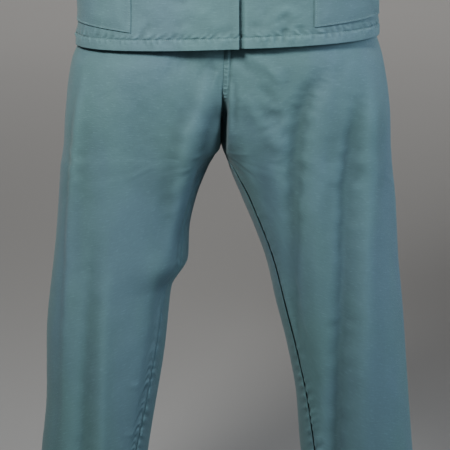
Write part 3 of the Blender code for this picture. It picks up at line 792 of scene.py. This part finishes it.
LEFT_SEAT = folds("""
24 20: 16 -694 0, 70 -740 -6, 108 -800 -7.5, 122 -900 -7, 132 -1040 -5, 140 -1160 0
18 18: 36 -810 0, 80 -860 5.5, 110 -950 5, 124 -1060 0
22 17: 204 -700 0, 206 -840 -5.5, 214 -1000 -7.5, 220 -1150 -8.5, 226 -1320 -6, 232 -1466 -4
16 22: 170 -740 0, 168 -880 5, 180 -1060 4.5, 196 -1260 4.5, 206 -1466 2
9 8: 26 -755 0, 50 -790 -4.5, 84 -812 0
8 10: 104 -975 0, 146 -995 -4, 190 -980 0
8 9: 116 -1020 0, 152 -1044 -3, 200 -1034 0
""")


# %% Work a leg panel's relief
STRIP_WIDTH, STRIP_TOP = 0.0085, -0.748      # a narrow puckered strip beside the middle seam


def work_leg(panel, creases, seed, on_top, middle_strip):
    """Creases, seams and hem; on_top is the panel whose edge laps over its neighbour's."""
    for path, width, other in creases:
        long = max(row[1] for row in path) - min(row[1] for row in path) > 0.20
        deep, wide = (1.35, 1.15) if long else (0.9, 1.1)
        path = [(x, height, deep * rise) for x, height, rise in path]
        crease(panel, path, wide * width, wide * other)
    panel.relief += 0.0007 * swell(panel.across, panel.down, 0.090, seed)
    panel.relief += 0.00035 * swell(panel.across * 1.6, panel.down, 0.034, seed + 1)
    inner, outer = panel.across, panel.to_last()
    fade = ease(inner / 0.016) * ease(outer / 0.016)
    panel.relief *= fade
    below = ease((CROTCH + 0.010 - panel.z) / 0.030)
    lower = ease((-1.080 - panel.z) / 0.10)
    seam(panel, outer, panel.down, 0.0009, 0.0004, 0.014, 0.008, seed + 2)
    kept = panel.relief.copy()
    seam(panel, inner, panel.down, 0.0, 0.0012, 0.015, 0.016, seed + 3)
    seam(panel, inner, panel.down, 0.0, 0.0026, 0.012, 0.015, seed + 4)
    panel.relief = mix(kept, panel.relief, below * (0.35 + 0.65 * lower))
    if on_top:
        panel.relief += 0.0007 * below * bell(inner, 0.0050)
    else:
        panel.relief -= 0.0018 * below * bell(inner, 0.0030)
    hem = LEG_HEM + LEG_FOLD - panel.z
    topstitch(panel, hem, panel.across, 0.0006, 0.009, 0.008, seed + 5)
    panel.relief += 0.0006 * ease(hem / 0.002)
    if middle_strip:
        above = ease((panel.z - STRIP_TOP) / 0.028)
        ribs = bumps(panel.down, 1.0, 0.0048, seed + 6) - 0.4
        ribs = 0.0028 * ribs * np.sin(math.pi * np.clip(inner / STRIP_WIDTH, 0, 1))
        strip = ease((STRIP_WIDTH - inner) / 0.0010) * above
        panel.relief += strip * (0.0015 * ease(inner / 0.0012) + ribs)
        panel.relief -= 0.0014 * bell(inner - STRIP_WIDTH - 0.0017, 0.0011) * above


legs = {}
for name, side, face, creases, seed, row_step, column_step in (
        ("trouser_front_right", -1, -1, RIGHT_THIGH, 11, 0.0036, 0.0026),
        ("trouser_front_left", 1, -1, LEFT_THIGH, 23, 0.0036, 0.0026),
        ("trouser_back_right", -1, 1, RIGHT_SEAT, 37, 0.0048, 0.0033),
        ("trouser_back_left", 1, 1, LEFT_SEAT, 41, 0.0048, 0.0033)):
    legs[name] = leg_panel(side, face, row_step, column_step)
    work_leg(legs[name], creases, seed, side == face, name == "trouser_front_left")
crumple(legs["trouser_front_left"], (0.060, -0.735), (0.045, 0.085), 0.0008, 5, 0.026, -0.6)
crumple(legs["trouser_front_right"], (-0.120, -0.800), (0.090, 0.120), 0.0004, 6, 0.022, 0.4)
pieces = {name: shell(name + "_cloth", panel, trouser_weave)
          for name, panel in legs.items()}


# %% [markdown]
# ## Fronts and back of the top
# The right front laps over the left one and both are cut straight down the middle, then sloped
# back to the neck. The hem is turned up once and stitched; the feed of the machine gathers the
# cloth a little at each stitch, and that gives the small uneven puckers above and below the line.

# %% The grids of the top
POCKET_RISE = {-1: 0.0095, 1: 0.0045}      # a pocket's lower edge climbs toward the side seam
POCKET_SIDE = 0.215                        # and reaches its full rise here


def pocket_slope(side, out):
    inner = POCKET_EDGE[side]
    return POCKET_RISE[side] * np.clip((out - inner) / (POCKET_SIDE - inner), 0, 1)


def top_rows(step):
    """Rows from hem to shoulder: heights up to the underarm, then a climb over the dome."""
    body = UNDERARM - TOP_HEM
    rise = stations(body, step, (0, 0.0012, 0.0003), (TOP_FOLD, 0.0045, 0.0010),
                    (TOP_FOLD + 0.0015, 0.0006, 0.0004), (POCKET_BOTTOM - TOP_HEM, 0.004, 0.0012))
    dome = stations(0.30, step, (0.30, 0.002, 0.0008))[1:] / 0.30 * math.pi / 2
    heights = np.concatenate([TOP_HEM + rise, np.full(len(dome), UNDERARM)])
    return heights, np.concatenate([np.zeros(len(rise)), dome])


def front_panel(side, row_step, column_step):
    heights, climbs = top_rows(row_step)
    arm = arm_angle(side, -1, climbs)
    end = ring_angle(neck_x(side, climbs), heights, -1)
    at = stations(PANEL_RUN, column_step, (0, 0.003, 0.0008), (PANEL_RUN, 0.0012, 0.0003))
    t = at / PANEL_RUN
    angle = mix(arm[:, None], end[:, None], t)
    panel = Panel(top_point(angle, heights[:, None], climbs[:, None]))
    up = panel.down
    panel.free = np.minimum(up, panel.to_last())
    front_edge = (panel.to_last() < 0.0008) * 0.4
    panel.layers = np.clip((up < TOP_FOLD + PAST_FOLD) * 1.0 + front_edge, 0, 1)
    return panel


def back_panel(row_step, column_step):
    heights, climbs = top_rows(row_step)
    stops = [arm_angle(-1, 1, climbs), ring_angle(-NECK_HALF, heights, 1),
             ring_angle(NECK_HALF, heights, 1), arm_angle(1, 1, climbs)]
    spans = ((0.19, [(0, 0.003, 0.0008)]), (0.17, []), (0.19, [(0.19, 0.003, 0.0008)]))
    columns = [stops[0][:, None]]
    for (width, fine), start, stop in zip(spans, stops, stops[1:]):
        t = stations(width, column_step, *fine)[1:] / width
        columns.append(mix(start[:, None], stop[:, None], t))
    angle = np.concatenate(columns, 1)
    flat_x = top_point(angle, heights[:, None], 0.0)[..., 0]
    inside = np.clip(1 - (flat_x / NECK_HALF) ** 2, 0, 1)
    climb = climbs[:, None] * (1 - NECK_DIP / (math.pi / 2) * np.sqrt(inside))
    panel = Panel(top_point(angle, heights[:, None], climb))
    neck = np.where(np.abs(flat_x[-1]) < NECK_HALF, panel.to_end(), 1.0)
    panel.free = np.minimum(panel.down, neck)
    panel.layers = (panel.down < TOP_FOLD + PAST_FOLD) * 1.0
    return panel


# %% Creases of the top
RIGHT_FRONT = folds("""
4 6: -122 -652 0, -120 -640 -1.8, -112 -628 -1.6, -100 -622 0
5 5: -118 -646 0, -110 -642 1.4, -98 -640 0
6 8: -66 -640 0, -56 -628 1.6, -48 -640 0
6 5: -80 -632 0, -52 -646 -1.2, -30 -640 0
7 6: -26 -640 0, -5 -634 -2, 16 -626 -1
5 4: -16 -648 0, 0 -644 1.2, 14 -642 0
5 7: -84 -602 0, -56 -600 1, -30 -603 0
14 10: -100 -560 0, -60 -585 -2.2, -10 -578 0
20 26: -150 -280 0, -130 -360 4, -118 -440 4, -122 -520 0
18 22: -100 -290 0, -75 -370 -4, -70 -460 -3, -80 -540 0
12 18: -196 -262 0, -160 -290 -5, -110 -300 -3, -60 -290 0
12 14: -188 -320 0, -150 -352 -3.5, -104 -362 0
14 14: -180 -200 0, -150 -230 4.5, -120 -240 0
16 16: -30 -300 0, -36 -400 2.5, -30 -500 0
""")
LEFT_FRONT = folds("""
7 6: 30 -630 0, 44 -622 -2, 56 -634 0
5 5: 40 -642 0, 56 -636 1.2, 68 -640 0
7 8: 66 -618 0, 84 -612 -1.6, 108 -616 0
4 5: 76 -638 0, 86 -632 -2.4, 98 -637 0
4 6: 96 -632 0, 108 -628 -2, 122 -634 0
8 8: 58 -600 0, 86 -604 1.8, 112 -598 0
24 20: 140 -280 0, 124 -350 4, 108 -430 3.5, 110 -520 0
20 18: 86 -280 0, 66 -360 -3.5, 62 -450 -3, 74 -550 0
14 16: 196 -258 0, 164 -284 -5, 116 -300 -3, 70 -284 0
13 12: 190 -330 0, 154 -356 -3.5, 100 -372 0
14 16: 178 -190 0, 150 -222 4.5, 112 -236 0
""")
BACK = folds("""
14 20: -196 -250 0, -150 -285 -6, -90 -300 -5, -30 -290 0
15 18: 198 -256 0, 156 -290 -6, 100 -310 -4.5, 36 -298 0
24 30: -160 -300 0, -130 -400 5, -112 -500 6, -110 -600 4, -112 -650 3
22 22: -80 -330 0, -56 -430 -6, -52 -540 -6, -60 -650 -4
22 26: 0 -310 0, 6 -420 5, 0 -540 5.5, -6 -650 4
20 24: 80 -340 0, 62 -450 -6, 60 -560 -5, 68 -650 -4
26 22: 156 -300 0, 136 -400 5, 122 -510 5.5, 124 -640 3
12 18: -120 -440 0, -60 -462 -3.5, 10 -452 -2.5, 70 -464 -3.5, 124 -446 0
16 20: -150 -120 0, -110 -170 -4, -80 -230 0
18 16: 150 -116 0, 114 -166 -4, 86 -236 0
""")


# %% Work the relief of the top's panels
def work_top(panel, creases, seed, edges, gathered):
    for path, width, other in creases:
        crease(panel, path, width, other)
    panel.relief += 0.0008 * swell(panel.across, panel.down, 0.080, seed)
    panel.relief += 0.0004 * swell(panel.across, panel.down * 1.5, 0.030, seed + 1)
    for distance in edges:
        panel.relief *= ease(distance / 0.016)
    for k, distance in enumerate(edges):
        seam(panel, distance, panel.down, 0.0009, 0.0004, 0.012, 0.008, seed + 2 + k)
    up = panel.down
    topstitch(panel, up - TOP_FOLD, panel.across, 0.0012, 0.009, 0.007, seed + 5, dip=0.0011)
    gather(panel, up - TOP_FOLD, panel.across, gathered, 0.0105, seed + 9)
    flare = bumps(panel.across, 0.5, 0.034, seed + 6) - 0.4
    panel.relief += 0.0011 * flare * bell(up, 0.020)
    panel.relief += 0.0005 * ease((TOP_FOLD - up) / 0.0015)


LAP = {-1: 0.0012, 1: -0.0014}      # the right front lies on top, and the left one under it
fronts = {side: front_panel(side, 0.0040, 0.0019) for side in (-1, 1)}
for side, creases, seed in ((-1, RIGHT_FRONT, 51), (1, LEFT_FRONT, 63)):
    panel = fronts[side]
    work_top(panel, creases, seed, [panel.across], 0.0038)
    panel.relief += LAP[side] * ease((0.080 - np.abs(panel.x)) / 0.054)
    low = ease((-0.50 - panel.z) / 0.14)
    if side < 0:
        panel.relief += (0.0008 + 0.0020 * low) * ease((panel.x - 0.006) / 0.014)
    else:
        panel.relief -= (0.0002 + 0.0030 * low) * ease((0.052 - panel.x) / 0.030)
        panel.relief -= (0.0014 + 0.0022 * low) * ease((0.0295 - panel.x) / 0.0050)
crumple(fronts[-1], (-0.060, -0.615), (0.060, 0.030), 0.0012, 71, 0.024, 0.8)
crumple(fronts[1], (0.075, -0.615), (0.050, 0.030), 0.0014, 73, 0.022, -0.5)
left = fronts[1]
teeth = bumps(left.x, 0.20, 0.0125, 77, 0.6) - 0.35
scallop = bell(left.down - 0.0125, 0.0042) * bell(left.x - 0.088, 0.040, 4)
left.relief += 0.0044 * teeth * scallop
for side, seed in ((-1, 81), (1, 83)):
    panel = fronts[side]
    out = np.abs(panel.x)
    ribs = bumps(out + 0.3 * panel.down, 0.24, 0.0068, seed) - 0.4
    base = POCKET_BOTTOM + pocket_slope(side, out)
    below = bell(panel.z - HEM_TILT * panel.x - base + 0.008, 0.008, 4)
    panel.relief += 0.0016 * ribs * below * ease((out - 0.135) / 0.02) * ease((0.219 - out) / 0.022)
back = back_panel(0.0050, 0.0036)
work_top(back, BACK, 91, [back.across, back.to_last()], 0.0016)
pieces["top_front_right"] = shell("top_front_right_cloth", fronts[-1], top_weave)
pieces["top_front_left"] = shell("top_front_left_cloth", fronts[1], top_weave)
pieces["top_back"] = shell("top_back_cloth", back, top_weave)


# %% [markdown]
# ## Sleeves
# A sleeve is a tube that starts on the armhole's edge and ends at an open cuff. It leaves the
# shoulder along the cloth and bends down to the arm's own line, so every point of a ring follows
# a smooth curve from the seam to the cuff.

# %% Sleeves
CUFF_CENTRE, CUFF_ACROSS, CUFF_DEPTH = np.array([0.325, -0.004, -0.300]), 0.068, 0.061
SLEEVE_LEAN, SLEEVE_SEAM, SLEEVE_FOLD, SEAM_GAP = math.radians(32), 0.0022, 0.020, 0.0003
SLEEVE_RUN = 0.20             # a sleeve's length, for spacing its rows


def sleeve_panel(side, around, rows):
    turn = np.linspace(0, 18, around + 1)
    stops = np.degrees([0, NECK_START / 2, NECK_START])
    stops = np.concatenate([stops, np.linspace(15, 90, 8)[1:]])
    climb = np.radians(np.interp(9 - np.abs(turn - 9), np.arange(10), stops))
    face = np.where(turn <= 9, -1, 1)
    angle = arm_angle(side, face, climb)
    edge = top_point(angle, UNDERARM + 0 * angle, climb)
    def beside(step_angle, step_climb):
        up = np.minimum(climb + step_climb, 1.5708)
        return top_point(angle + step_angle, UNDERARM + 0 * angle, up)
    normals = np.cross(beside(0.009, 0) - beside(-0.009, 0), beside(0, 0.009) - beside(0, -0.009))
    ring = np.concatenate([edge[-2:-1], edge, edge[1:2]])
    ways = unit(side * np.cross(ring[2:] - ring[:-2], unit(normals)))
    turn = turn * math.pi / 9
    line = np.array([side * math.sin(SLEEVE_LEAN), 0, -math.cos(SLEEVE_LEAN)])
    down = np.array([-side * math.cos(SLEEVE_LEAN), 0, -math.sin(SLEEVE_LEAN)])
    centre = CUFF_CENTRE * (side, 1, 1)
    end = (centre + np.outer(CUFF_ACROSS * np.cos(turn), down)
           + np.outer(CUFF_DEPTH * np.sin(turn), (0, -1, 0)))
    start = edge + ways * (SEAM_GAP + SLEEVE_SEAM)
    reach = np.linalg.norm(end - start, axis=1, keepdims=True) / 3
    leave = unit(mix(ways, line, (0.35 + 0.65 * ease((np.cos(turn) + 1) / 2))[:, None]))
    grid = [edge + ways * SEAM_GAP * 0.5]
    for t in np.concatenate([[0], rows]):
        a, b, c, d = start, start + leave * reach, end - line * reach, end
        u = 1 - t
        grid.append(a * u**3 + b * (3 * u * u * t) + c * (3 * u * t * t) + d * t**3)
    panel = Panel(np.array(grid), joined=True)
    panel.free = panel.to_end()
    panel.layers = (panel.free < SLEEVE_FOLD + PAST_FOLD) * 1.0
    return panel


SLEEVE_CREASES = folds("""
12 16: -215 -110 0, -262 -150 -4.5, -300 -215 0
12 14: -210 -170 0, -246 -200 4.5, -284 -252 0
10 12: -215 -215 0, -246 -240 -5, -270 -280 0
12 12: -330 -170 0, -345 -215 -3, -362 -262 0
""")
small = {}                    # the sleeves and pockets
for side, name, seed in ((-1, "sleeve_right", 101), (1, "sleeve_left", 113)):
    fold_line = SLEEVE_RUN - SLEEVE_FOLD
    rows = stations(SLEEVE_RUN, 0.0034, (SLEEVE_RUN, 0.0012, 0.0003), (fold_line, 0.004, 0.0010),
                    (fold_line - 0.0012, 0.0006, 0.0004))[1:] / SLEEVE_RUN
    panel = sleeve_panel(side, 150, rows)
    for path, width, other in SLEEVE_CREASES:
        crease(panel, [(-side * x, height, rise) for x, height, rise in path], width, other)
    run = panel.across
    panel.relief += 0.0009 * swell(panel.x, panel.down, 0.060, seed)
    panel.relief *= ease(panel.down / 0.018)
    seam(panel, panel.down, run, 0.0008, 0.0005, 0.012, 0.010, seed + 1)
    topstitch(panel, panel.free - SLEEVE_FOLD, run, 0.0006, 0.009, 0.007, seed + 2)
    panel.relief += 0.0004 * ease((SLEEVE_FOLD - panel.free) / 0.0015)
    small[name] = panel
    pieces[name] = shell(name + "_cloth", panel, top_weave)


# %% [markdown]
# ## Patch pockets
# A pocket is a patch on the front: its points are the front's own, moved out by its thickness, so
# it can't float or sink. It is stitched just inside its edge, and its mouth is hemmed.

# %% Pockets
POCKET_LIFT = 0.0014          # its turned-in edge is three layers thick
POCKET_RUN, POCKET_HEM, POCKET_STITCH = 0.128, 0.022, 0.0024


def pocket_panel(side, front):
    """The pocket's cloth on the finished front, from the side seam to its inner edge."""
    heights = POCKET_BOTTOM + stations(POCKET_TOP - POCKET_BOTTOM, 0.0034, (0, 0.003, 0.0004),
                                       (0.167, 0.0012, 0.0003), (0.145, 0.004, 0.0010))
    angle_in = ring_angle(side * POCKET_EDGE[side], heights, -1)[:, None]
    angle_out = arm_angle(side, -1, 0 * heights)[:, None]
    t = stations(POCKET_RUN, 0.0030, (0, 0.002, 0.0008), (POCKET_RUN, 0.003, 0.0004)) / POCKET_RUN
    angle = mix(angle_out, angle_in, t)
    share = (POCKET_TOP - heights) / (POCKET_TOP - POCKET_BOTTOM)
    out = np.abs(top_point(angle, heights[:, None], 0.0)[..., 0])
    level = heights[:, None] + share[:, None] * pocket_slope(side, out)
    panel = Panel(top_point(angle, level, 0.0))
    panel.relief = under(front, panel) + SEAM_GAP + LAYER + POCKET_LIFT
    return panel


def under(front, panel):
    """Relief of the front below a pocket, read at the pocket's own points."""
    level = front.z - HEM_TILT * front.x
    rows = np.interp(panel.z - HEM_TILT * panel.x, level[:, 0], np.arange(len(level)))
    first = rows.astype(int)
    low, high = (np.empty(panel.x.shape) for _ in range(2))
    for row in np.unique(first):
        here = first == row
        for found, line in ((low, row), (high, row + 1)):
            order = np.argsort(front.x[line])
            found[here] = np.interp(panel.x[here], front.x[line][order], front.relief[line][order])
    return mix(low, high, rows - first)


for side, name, seed in ((-1, "pocket_right", 121), (1, "pocket_left", 127)):
    panel = pocket_panel(side, fronts[side])
    up, inner, mouth = panel.down, panel.to_last(), panel.to_end()
    edge = np.minimum(up, inner)
    mound = ease(edge / 0.022) * ease(panel.across / 0.03)
    panel.relief += mound * (0.0022 + 0.0016 * swell(panel.across, up, 0.040, seed))
    panel.relief += 0.0006 * mound * swell(panel.across + 0.5 * up, up * 0.6, 0.022, seed + 1)
    panel.relief += mound * 0.0016 * ease((0.05 - mouth) / 0.05)
    round_edge = np.where(up < inner, panel.across, up)
    topstitch(panel, edge - POCKET_STITCH, round_edge, 0.0005, 0.0075, 0.006, seed + 2)
    topstitch(panel, mouth - POCKET_HEM, panel.across, 0.0005, 0.008, 0.006, seed + 3)
    panel.free = np.minimum(edge, mouth)
    panel.layers = np.clip((mouth < POCKET_HEM + PAST_FOLD) * 1.0 + (edge < 0.006) * 0.5, 0, 1)
    panel.relief += 0.0005 * panel.layers
    small[name] = panel
    pieces[name] = shell(name + "_cloth", panel, top_weave)


# %% [markdown]
# ## Waistband
# The trousers hang from a plain band under the top. It is a tube with a slightly gathered face.

# %% Waistband
def band_panel(columns, rows):
    turn = np.linspace(-math.pi / 2, math.pi * 1.5, columns + 1)
    side = np.where(np.cos(turn) >= 0, 1, -1)
    angle = np.where(side > 0, turn, math.pi - turn)
    heights = mix(WAIST_SEAM + SEAM_GAP, WAIST, np.linspace(0, 1, rows))[:, None]
    grid = np.empty((rows, columns + 1, 3))
    for hand in (-1, 1):
        chosen = side == hand
        grid[:, chosen] = leg_point(hand, angle[None, chosen], heights)
    panel = Panel(grid, joined=True)
    panel.layers += 1.0
    panel.free = panel.to_end()
    return panel


band = band_panel(300, 16)
band.relief += 0.0010 * (bumps(band.across, 1.0, 0.012, 131) - 0.5) * ease(band.down / 0.006)
pieces["waistband"] = shell("waistband_cloth", band, trouser_weave)


# %% [markdown]
# ## Topstitching
# The lines of stitches are traced on the finished cloth, so they dip and rise with its puckers:
# round each hem, round the pockets, at the neck, and along both sides of the middle seam.

# %% Sew the suit
stitches = {}
for side, name in ((-1, "top_front_right"), (1, "top_front_left")):
    panel = fronts[side]
    lines = [trace(panel, panel.down, TOP_FOLD)]
    neck = panel.to_last() + 1.0 * (panel.z < UNDERARM + 0.02)
    lines.append(trace(panel, -neck, -0.0060, down=False))
    stitches[name] = sew(name + "_stitches", lines, top_thread)
neckline = trace(back, np.where(np.abs(back.x) < NECK_HALF - 0.002, back.to_end(), 1.0), 0.0060)
stitches["top_back"] = sew("top_back_stitches", [trace(back, back.down, TOP_FOLD), neckline],
                           top_thread)
for name in ("sleeve_right", "sleeve_left"):
    lines = [trace(small[name], small[name].free, SLEEVE_FOLD)]
    stitches[name] = sew(name + "_stitches", lines, top_thread)
for name in ("pocket_right", "pocket_left"):
    panel = small[name]
    up, inner, inset = panel.down, panel.to_last(), POCKET_STITCH
    lines = [trace(panel, up + 1.0 * (inner < inset), inset),
             trace(panel, inner + 1.0 * (up < inset), inset, down=False),
             trace(panel, panel.to_end(), POCKET_HEM)]
    stitches[name] = sew(name + "_stitches", lines, top_thread)
for name, panel in legs.items():
    lines = [trace(panel, panel.z, LEG_HEM + LEG_FOLD)]
    if name == "trouser_front_left":
        for inset in (0.0016, 0.0072):
            lines.append(trace(panel, panel.across + 1.0 * (panel.z < -0.80), inset, down=False))
    stitches[name] = sew(name + "_stitches", lines, top_thread)

# %% [markdown]
# ## Buttons
# A shirt button is turned from a disc: a rounded rim, a dished middle and four holes, with the
# thread crossing in two bars. One button is modelled with Blender's own tools and copied, and
# each copy is turned to face the way the cloth below it faces.

# %% Buttons
def start_fresh():
    if bpy.context.mode != "OBJECT":
        bpy.ops.object.mode_set(mode="OBJECT")
    bpy.ops.object.select_all(action="DESELECT")


def apply_modifier(piece, kind, **settings):
    bpy.context.view_layer.objects.active = piece
    modifier = piece.modifiers.new("work", kind)
    for title, value in settings.items():
        setattr(modifier, title, value)
    bpy.ops.object.modifier_apply(modifier=modifier.name)


BUTTON_RADIUS, BUTTON_THICK, HOLE_OUT = 0.0075, 0.0026, 0.0013
start_fresh()
bpy.ops.mesh.primitive_cylinder_add(vertices=48, radius=BUTTON_RADIUS, depth=BUTTON_THICK)
disc = bpy.context.object
bpy.ops.object.mode_set(mode="EDIT")
bpy.ops.mesh.select_mode(type="FACE")
bpy.ops.mesh.select_all(action="DESELECT")
bpy.ops.object.mode_set(mode="OBJECT")
for face in disc.data.polygons:
    face.select = face.normal.z > 0.9
bpy.ops.object.mode_set(mode="EDIT")
bpy.ops.mesh.inset(thickness=0.0014)
bpy.ops.mesh.inset(thickness=0.0007)
bpy.ops.transform.translate(value=(0, 0, -0.0007))
bpy.ops.object.mode_set(mode="OBJECT")
apply_modifier(disc, "BEVEL", width=0.00055, segments=3, limit_method="ANGLE", angle_limit=0.5)
for turn in QUARTERS:
    start_fresh()
    place = HOLE_OUT * math.cos(turn), HOLE_OUT * math.sin(turn), 0
    bpy.ops.mesh.primitive_cylinder_add(vertices=14, radius=0.00062, depth=0.01, location=place)
    drill = bpy.context.object
    apply_modifier(disc, "BOOLEAN", operation="DIFFERENCE", object=drill, solver="EXACT")
    bpy.data.objects.remove(drill)
disc.data.shade_smooth()
disc.data.set_sharp_from_angle(angle=math.radians(35))


button_plastic = mottled_material("teal_button_plastic", (0.110, 0.215, 0.225), 420, 3, 0.3,
                                  (0.15, 0.0002), Roughness=0.38, Coat_Weight=0.15)
thread_bars = []
for k in range(1, 5):
    low, high = (Vector(corner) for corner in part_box(f"button_{k}"))
    front = fronts[-1]
    gap = np.linalg.norm(front.points - np.array((low + high) / 2), axis=-1)
    nearest = np.unravel_index(gap.argmin(), gap.shape)
    facing = front.normals[nearest]
    rise = front.relief[nearest] + 0.0002 + BUTTON_THICK / 2
    middle = front.points[nearest] + facing * rise
    middle[0] = (low.x + high.x) / 2
    for lean in (1, -1):
        along = np.array((0.0022, 0.0, lean * 0.0022))
        ends = middle + facing * (BUTTON_THICK / 2 - 0.0005) + np.array([[-1], [1]]) * along
        thread_bars.append((ends, np.array([facing, facing])))
    piece = disc.copy()
    piece.data = disc.data.copy()
    piece.name = piece.data.name = f"button_{k}_turned"
    bpy.context.scene.collection.objects.link(piece)
    start_fresh()
    piece.select_set(True)
    bpy.context.view_layer.objects.active = piece
    piece.location = middle
    piece.rotation_euler = Vector(facing).to_track_quat("Z", "Y").to_euler()
    bpy.ops.object.transform_apply(location=True, rotation=True, scale=True)
    piece.data.materials.clear()
    piece.data.materials.append(button_plastic)
    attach(piece, "root")
    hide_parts(f"button_{k}")
    pieces[f"button_{k}"] = piece
bpy.data.objects.remove(disc)
sew("button_threads", thread_bars, top_thread)
print("buttons:", [[round(v, 4) for v in pieces[f"button_{k}"].dimensions] for k in range(1, 5)])

# %% [markdown]
# ## The cloth's sheets
# Each panel is a sheet that was cut flat: the table gives its largest width and length with seams
# and hems, and its own area, because none of them is a rectangle. Here each sheet's node is only
# hidden.

# %% Sheets
CUTS = (        # node, cut width and length, area, how it is held, and the node that holds it
    ("top_front_right", 0.320, 0.700, 0.190, "hung", "top_back"),
    ("top_front_left", 0.320, 0.700, 0.190, "hung", "top_back"),
    ("top_back", 0.600, 0.700, 0.375, "hung", None),
    ("sleeve_right", 0.440, 0.240, 0.084, "hung", "top_back"),
    ("sleeve_left", 0.440, 0.240, 0.084, "hung", "top_back"),
    ("pocket_right", 0.170, 0.200, 0.0300, "stretched", "top_front_right"),
    ("pocket_left", 0.170, 0.200, 0.0300, "stretched", "top_front_left"),
    ("trouser_front_right", 0.330, 1.020, 0.256, "hung", "waistband"),
    ("trouser_front_left", 0.330, 1.020, 0.262, "hung", "waistband"),
    ("trouser_back_right", 0.420, 1.020, 0.332, "hung", "waistband"),
    ("trouser_back_left", 0.420, 1.020, 0.338, "hung", "waistband"),
    ("waistband", 1.000, 0.045, None, "gathered", None))
for name, width, length, area, held, holder in CUTS:
    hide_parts(name)
    [stitches[name]] if name in stitches else []
print("sheets:", len(CUTS))

# %% [markdown]
# ## Stage, light and camera
# A wide pale floor lies where the wearer's feet would stand. A small soft light at the left
# front is the key. Two wide weak ones, at the right front and at the right side, fill and draw
# the edge. A large one hangs over the far floor, and two dim ones keep the back readable.

# %% Floor
FLOOR = -1.500
start_fresh()
bpy.ops.mesh.primitive_plane_add(size=40, location=(0, 0, FLOOR))
floor = bpy.context.object
floor.name = "studio_floor"
bpy.ops.object.transform_apply(location=True, rotation=True, scale=True)
pale = mottled_material("pale_floor", (0.262, 0.255, 0.247), 0.8, 2, 0.06, Roughness=0.9)
floor.data.materials.append(pale)


# %% Lights
def soft_light(name, place, aim, size, power, colour, spread=180):
    """A round softbox; a spread under 180 degrees is a honeycomb grid in front of it."""
    data = bpy.data.lights.new(name, "AREA")
    data.shape, data.size, data.energy, data.color = "DISK", size, power, colour
    data.spread = math.radians(spread)
    light = bpy.data.objects.new(name, data)
    light.location = place
    light.rotation_euler = (Vector(aim) - Vector(place)).to_track_quat("-Z", "Y").to_euler()
    bpy.context.scene.collection.objects.link(light)


soft_light("key", (-0.95, -2.45, 0.95), (-0.4, -0.1, -0.16), 0.8, 17.5, (1.0, 1.0, 0.97), 56)
soft_light("fill", (2.7, -1.7, 0.1), (-0.15, -0.1, -0.80), 1.6, 5.5, (0.78, 0.88, 1.0), 50)
soft_light("edge", (3.2, 0.3, 0.2), (0.1, 0.0, -0.70), 1.4, 4.5, (0.74, 0.86, 1.0), 60)
soft_light("overhead", (0, 8.5, 4.0), (0, 8.0, -1.5), 6.0, 320, (1.0, 0.985, 0.96))
soft_light("back_left", (-2.2, 2.4, 0.3), (0, 0.1, -0.7), 1.6, 1, (1.0, 1.0, 1.0), 60)
soft_light("back_right", (2.4, 2.2, 0.1), (0, 0.1, -0.8), 1.6, 3, (0.9, 0.96, 1.0), 60)
world = bpy.data.worlds.new("studio")
bpy.context.scene.world = world
world.use_nodes = True
world.node_tree.nodes["Background"].inputs["Color"].default_value = (0.60, 0.62, 0.65, 1)
world.node_tree.nodes["Background"].inputs["Strength"].default_value = 0.30

# %% Camera
CAMERA_PLACE, CAMERA_AIM, LENS = Vector((0, -4.0, -0.17)), Vector((0, 0, -0.942)), 217.2
lens = bpy.data.cameras.new("camera")
lens.lens, lens.sensor_width, lens.sensor_fit = LENS, 36.0, "HORIZONTAL"
lens.clip_end = 100
camera = bpy.data.objects.new("camera", lens)
camera.location = CAMERA_PLACE
camera.rotation_euler = (CAMERA_AIM - CAMERA_PLACE).to_track_quat("-Z", "Y").to_euler()
bpy.context.scene.collection.objects.link(camera)
bpy.context.scene.camera = camera
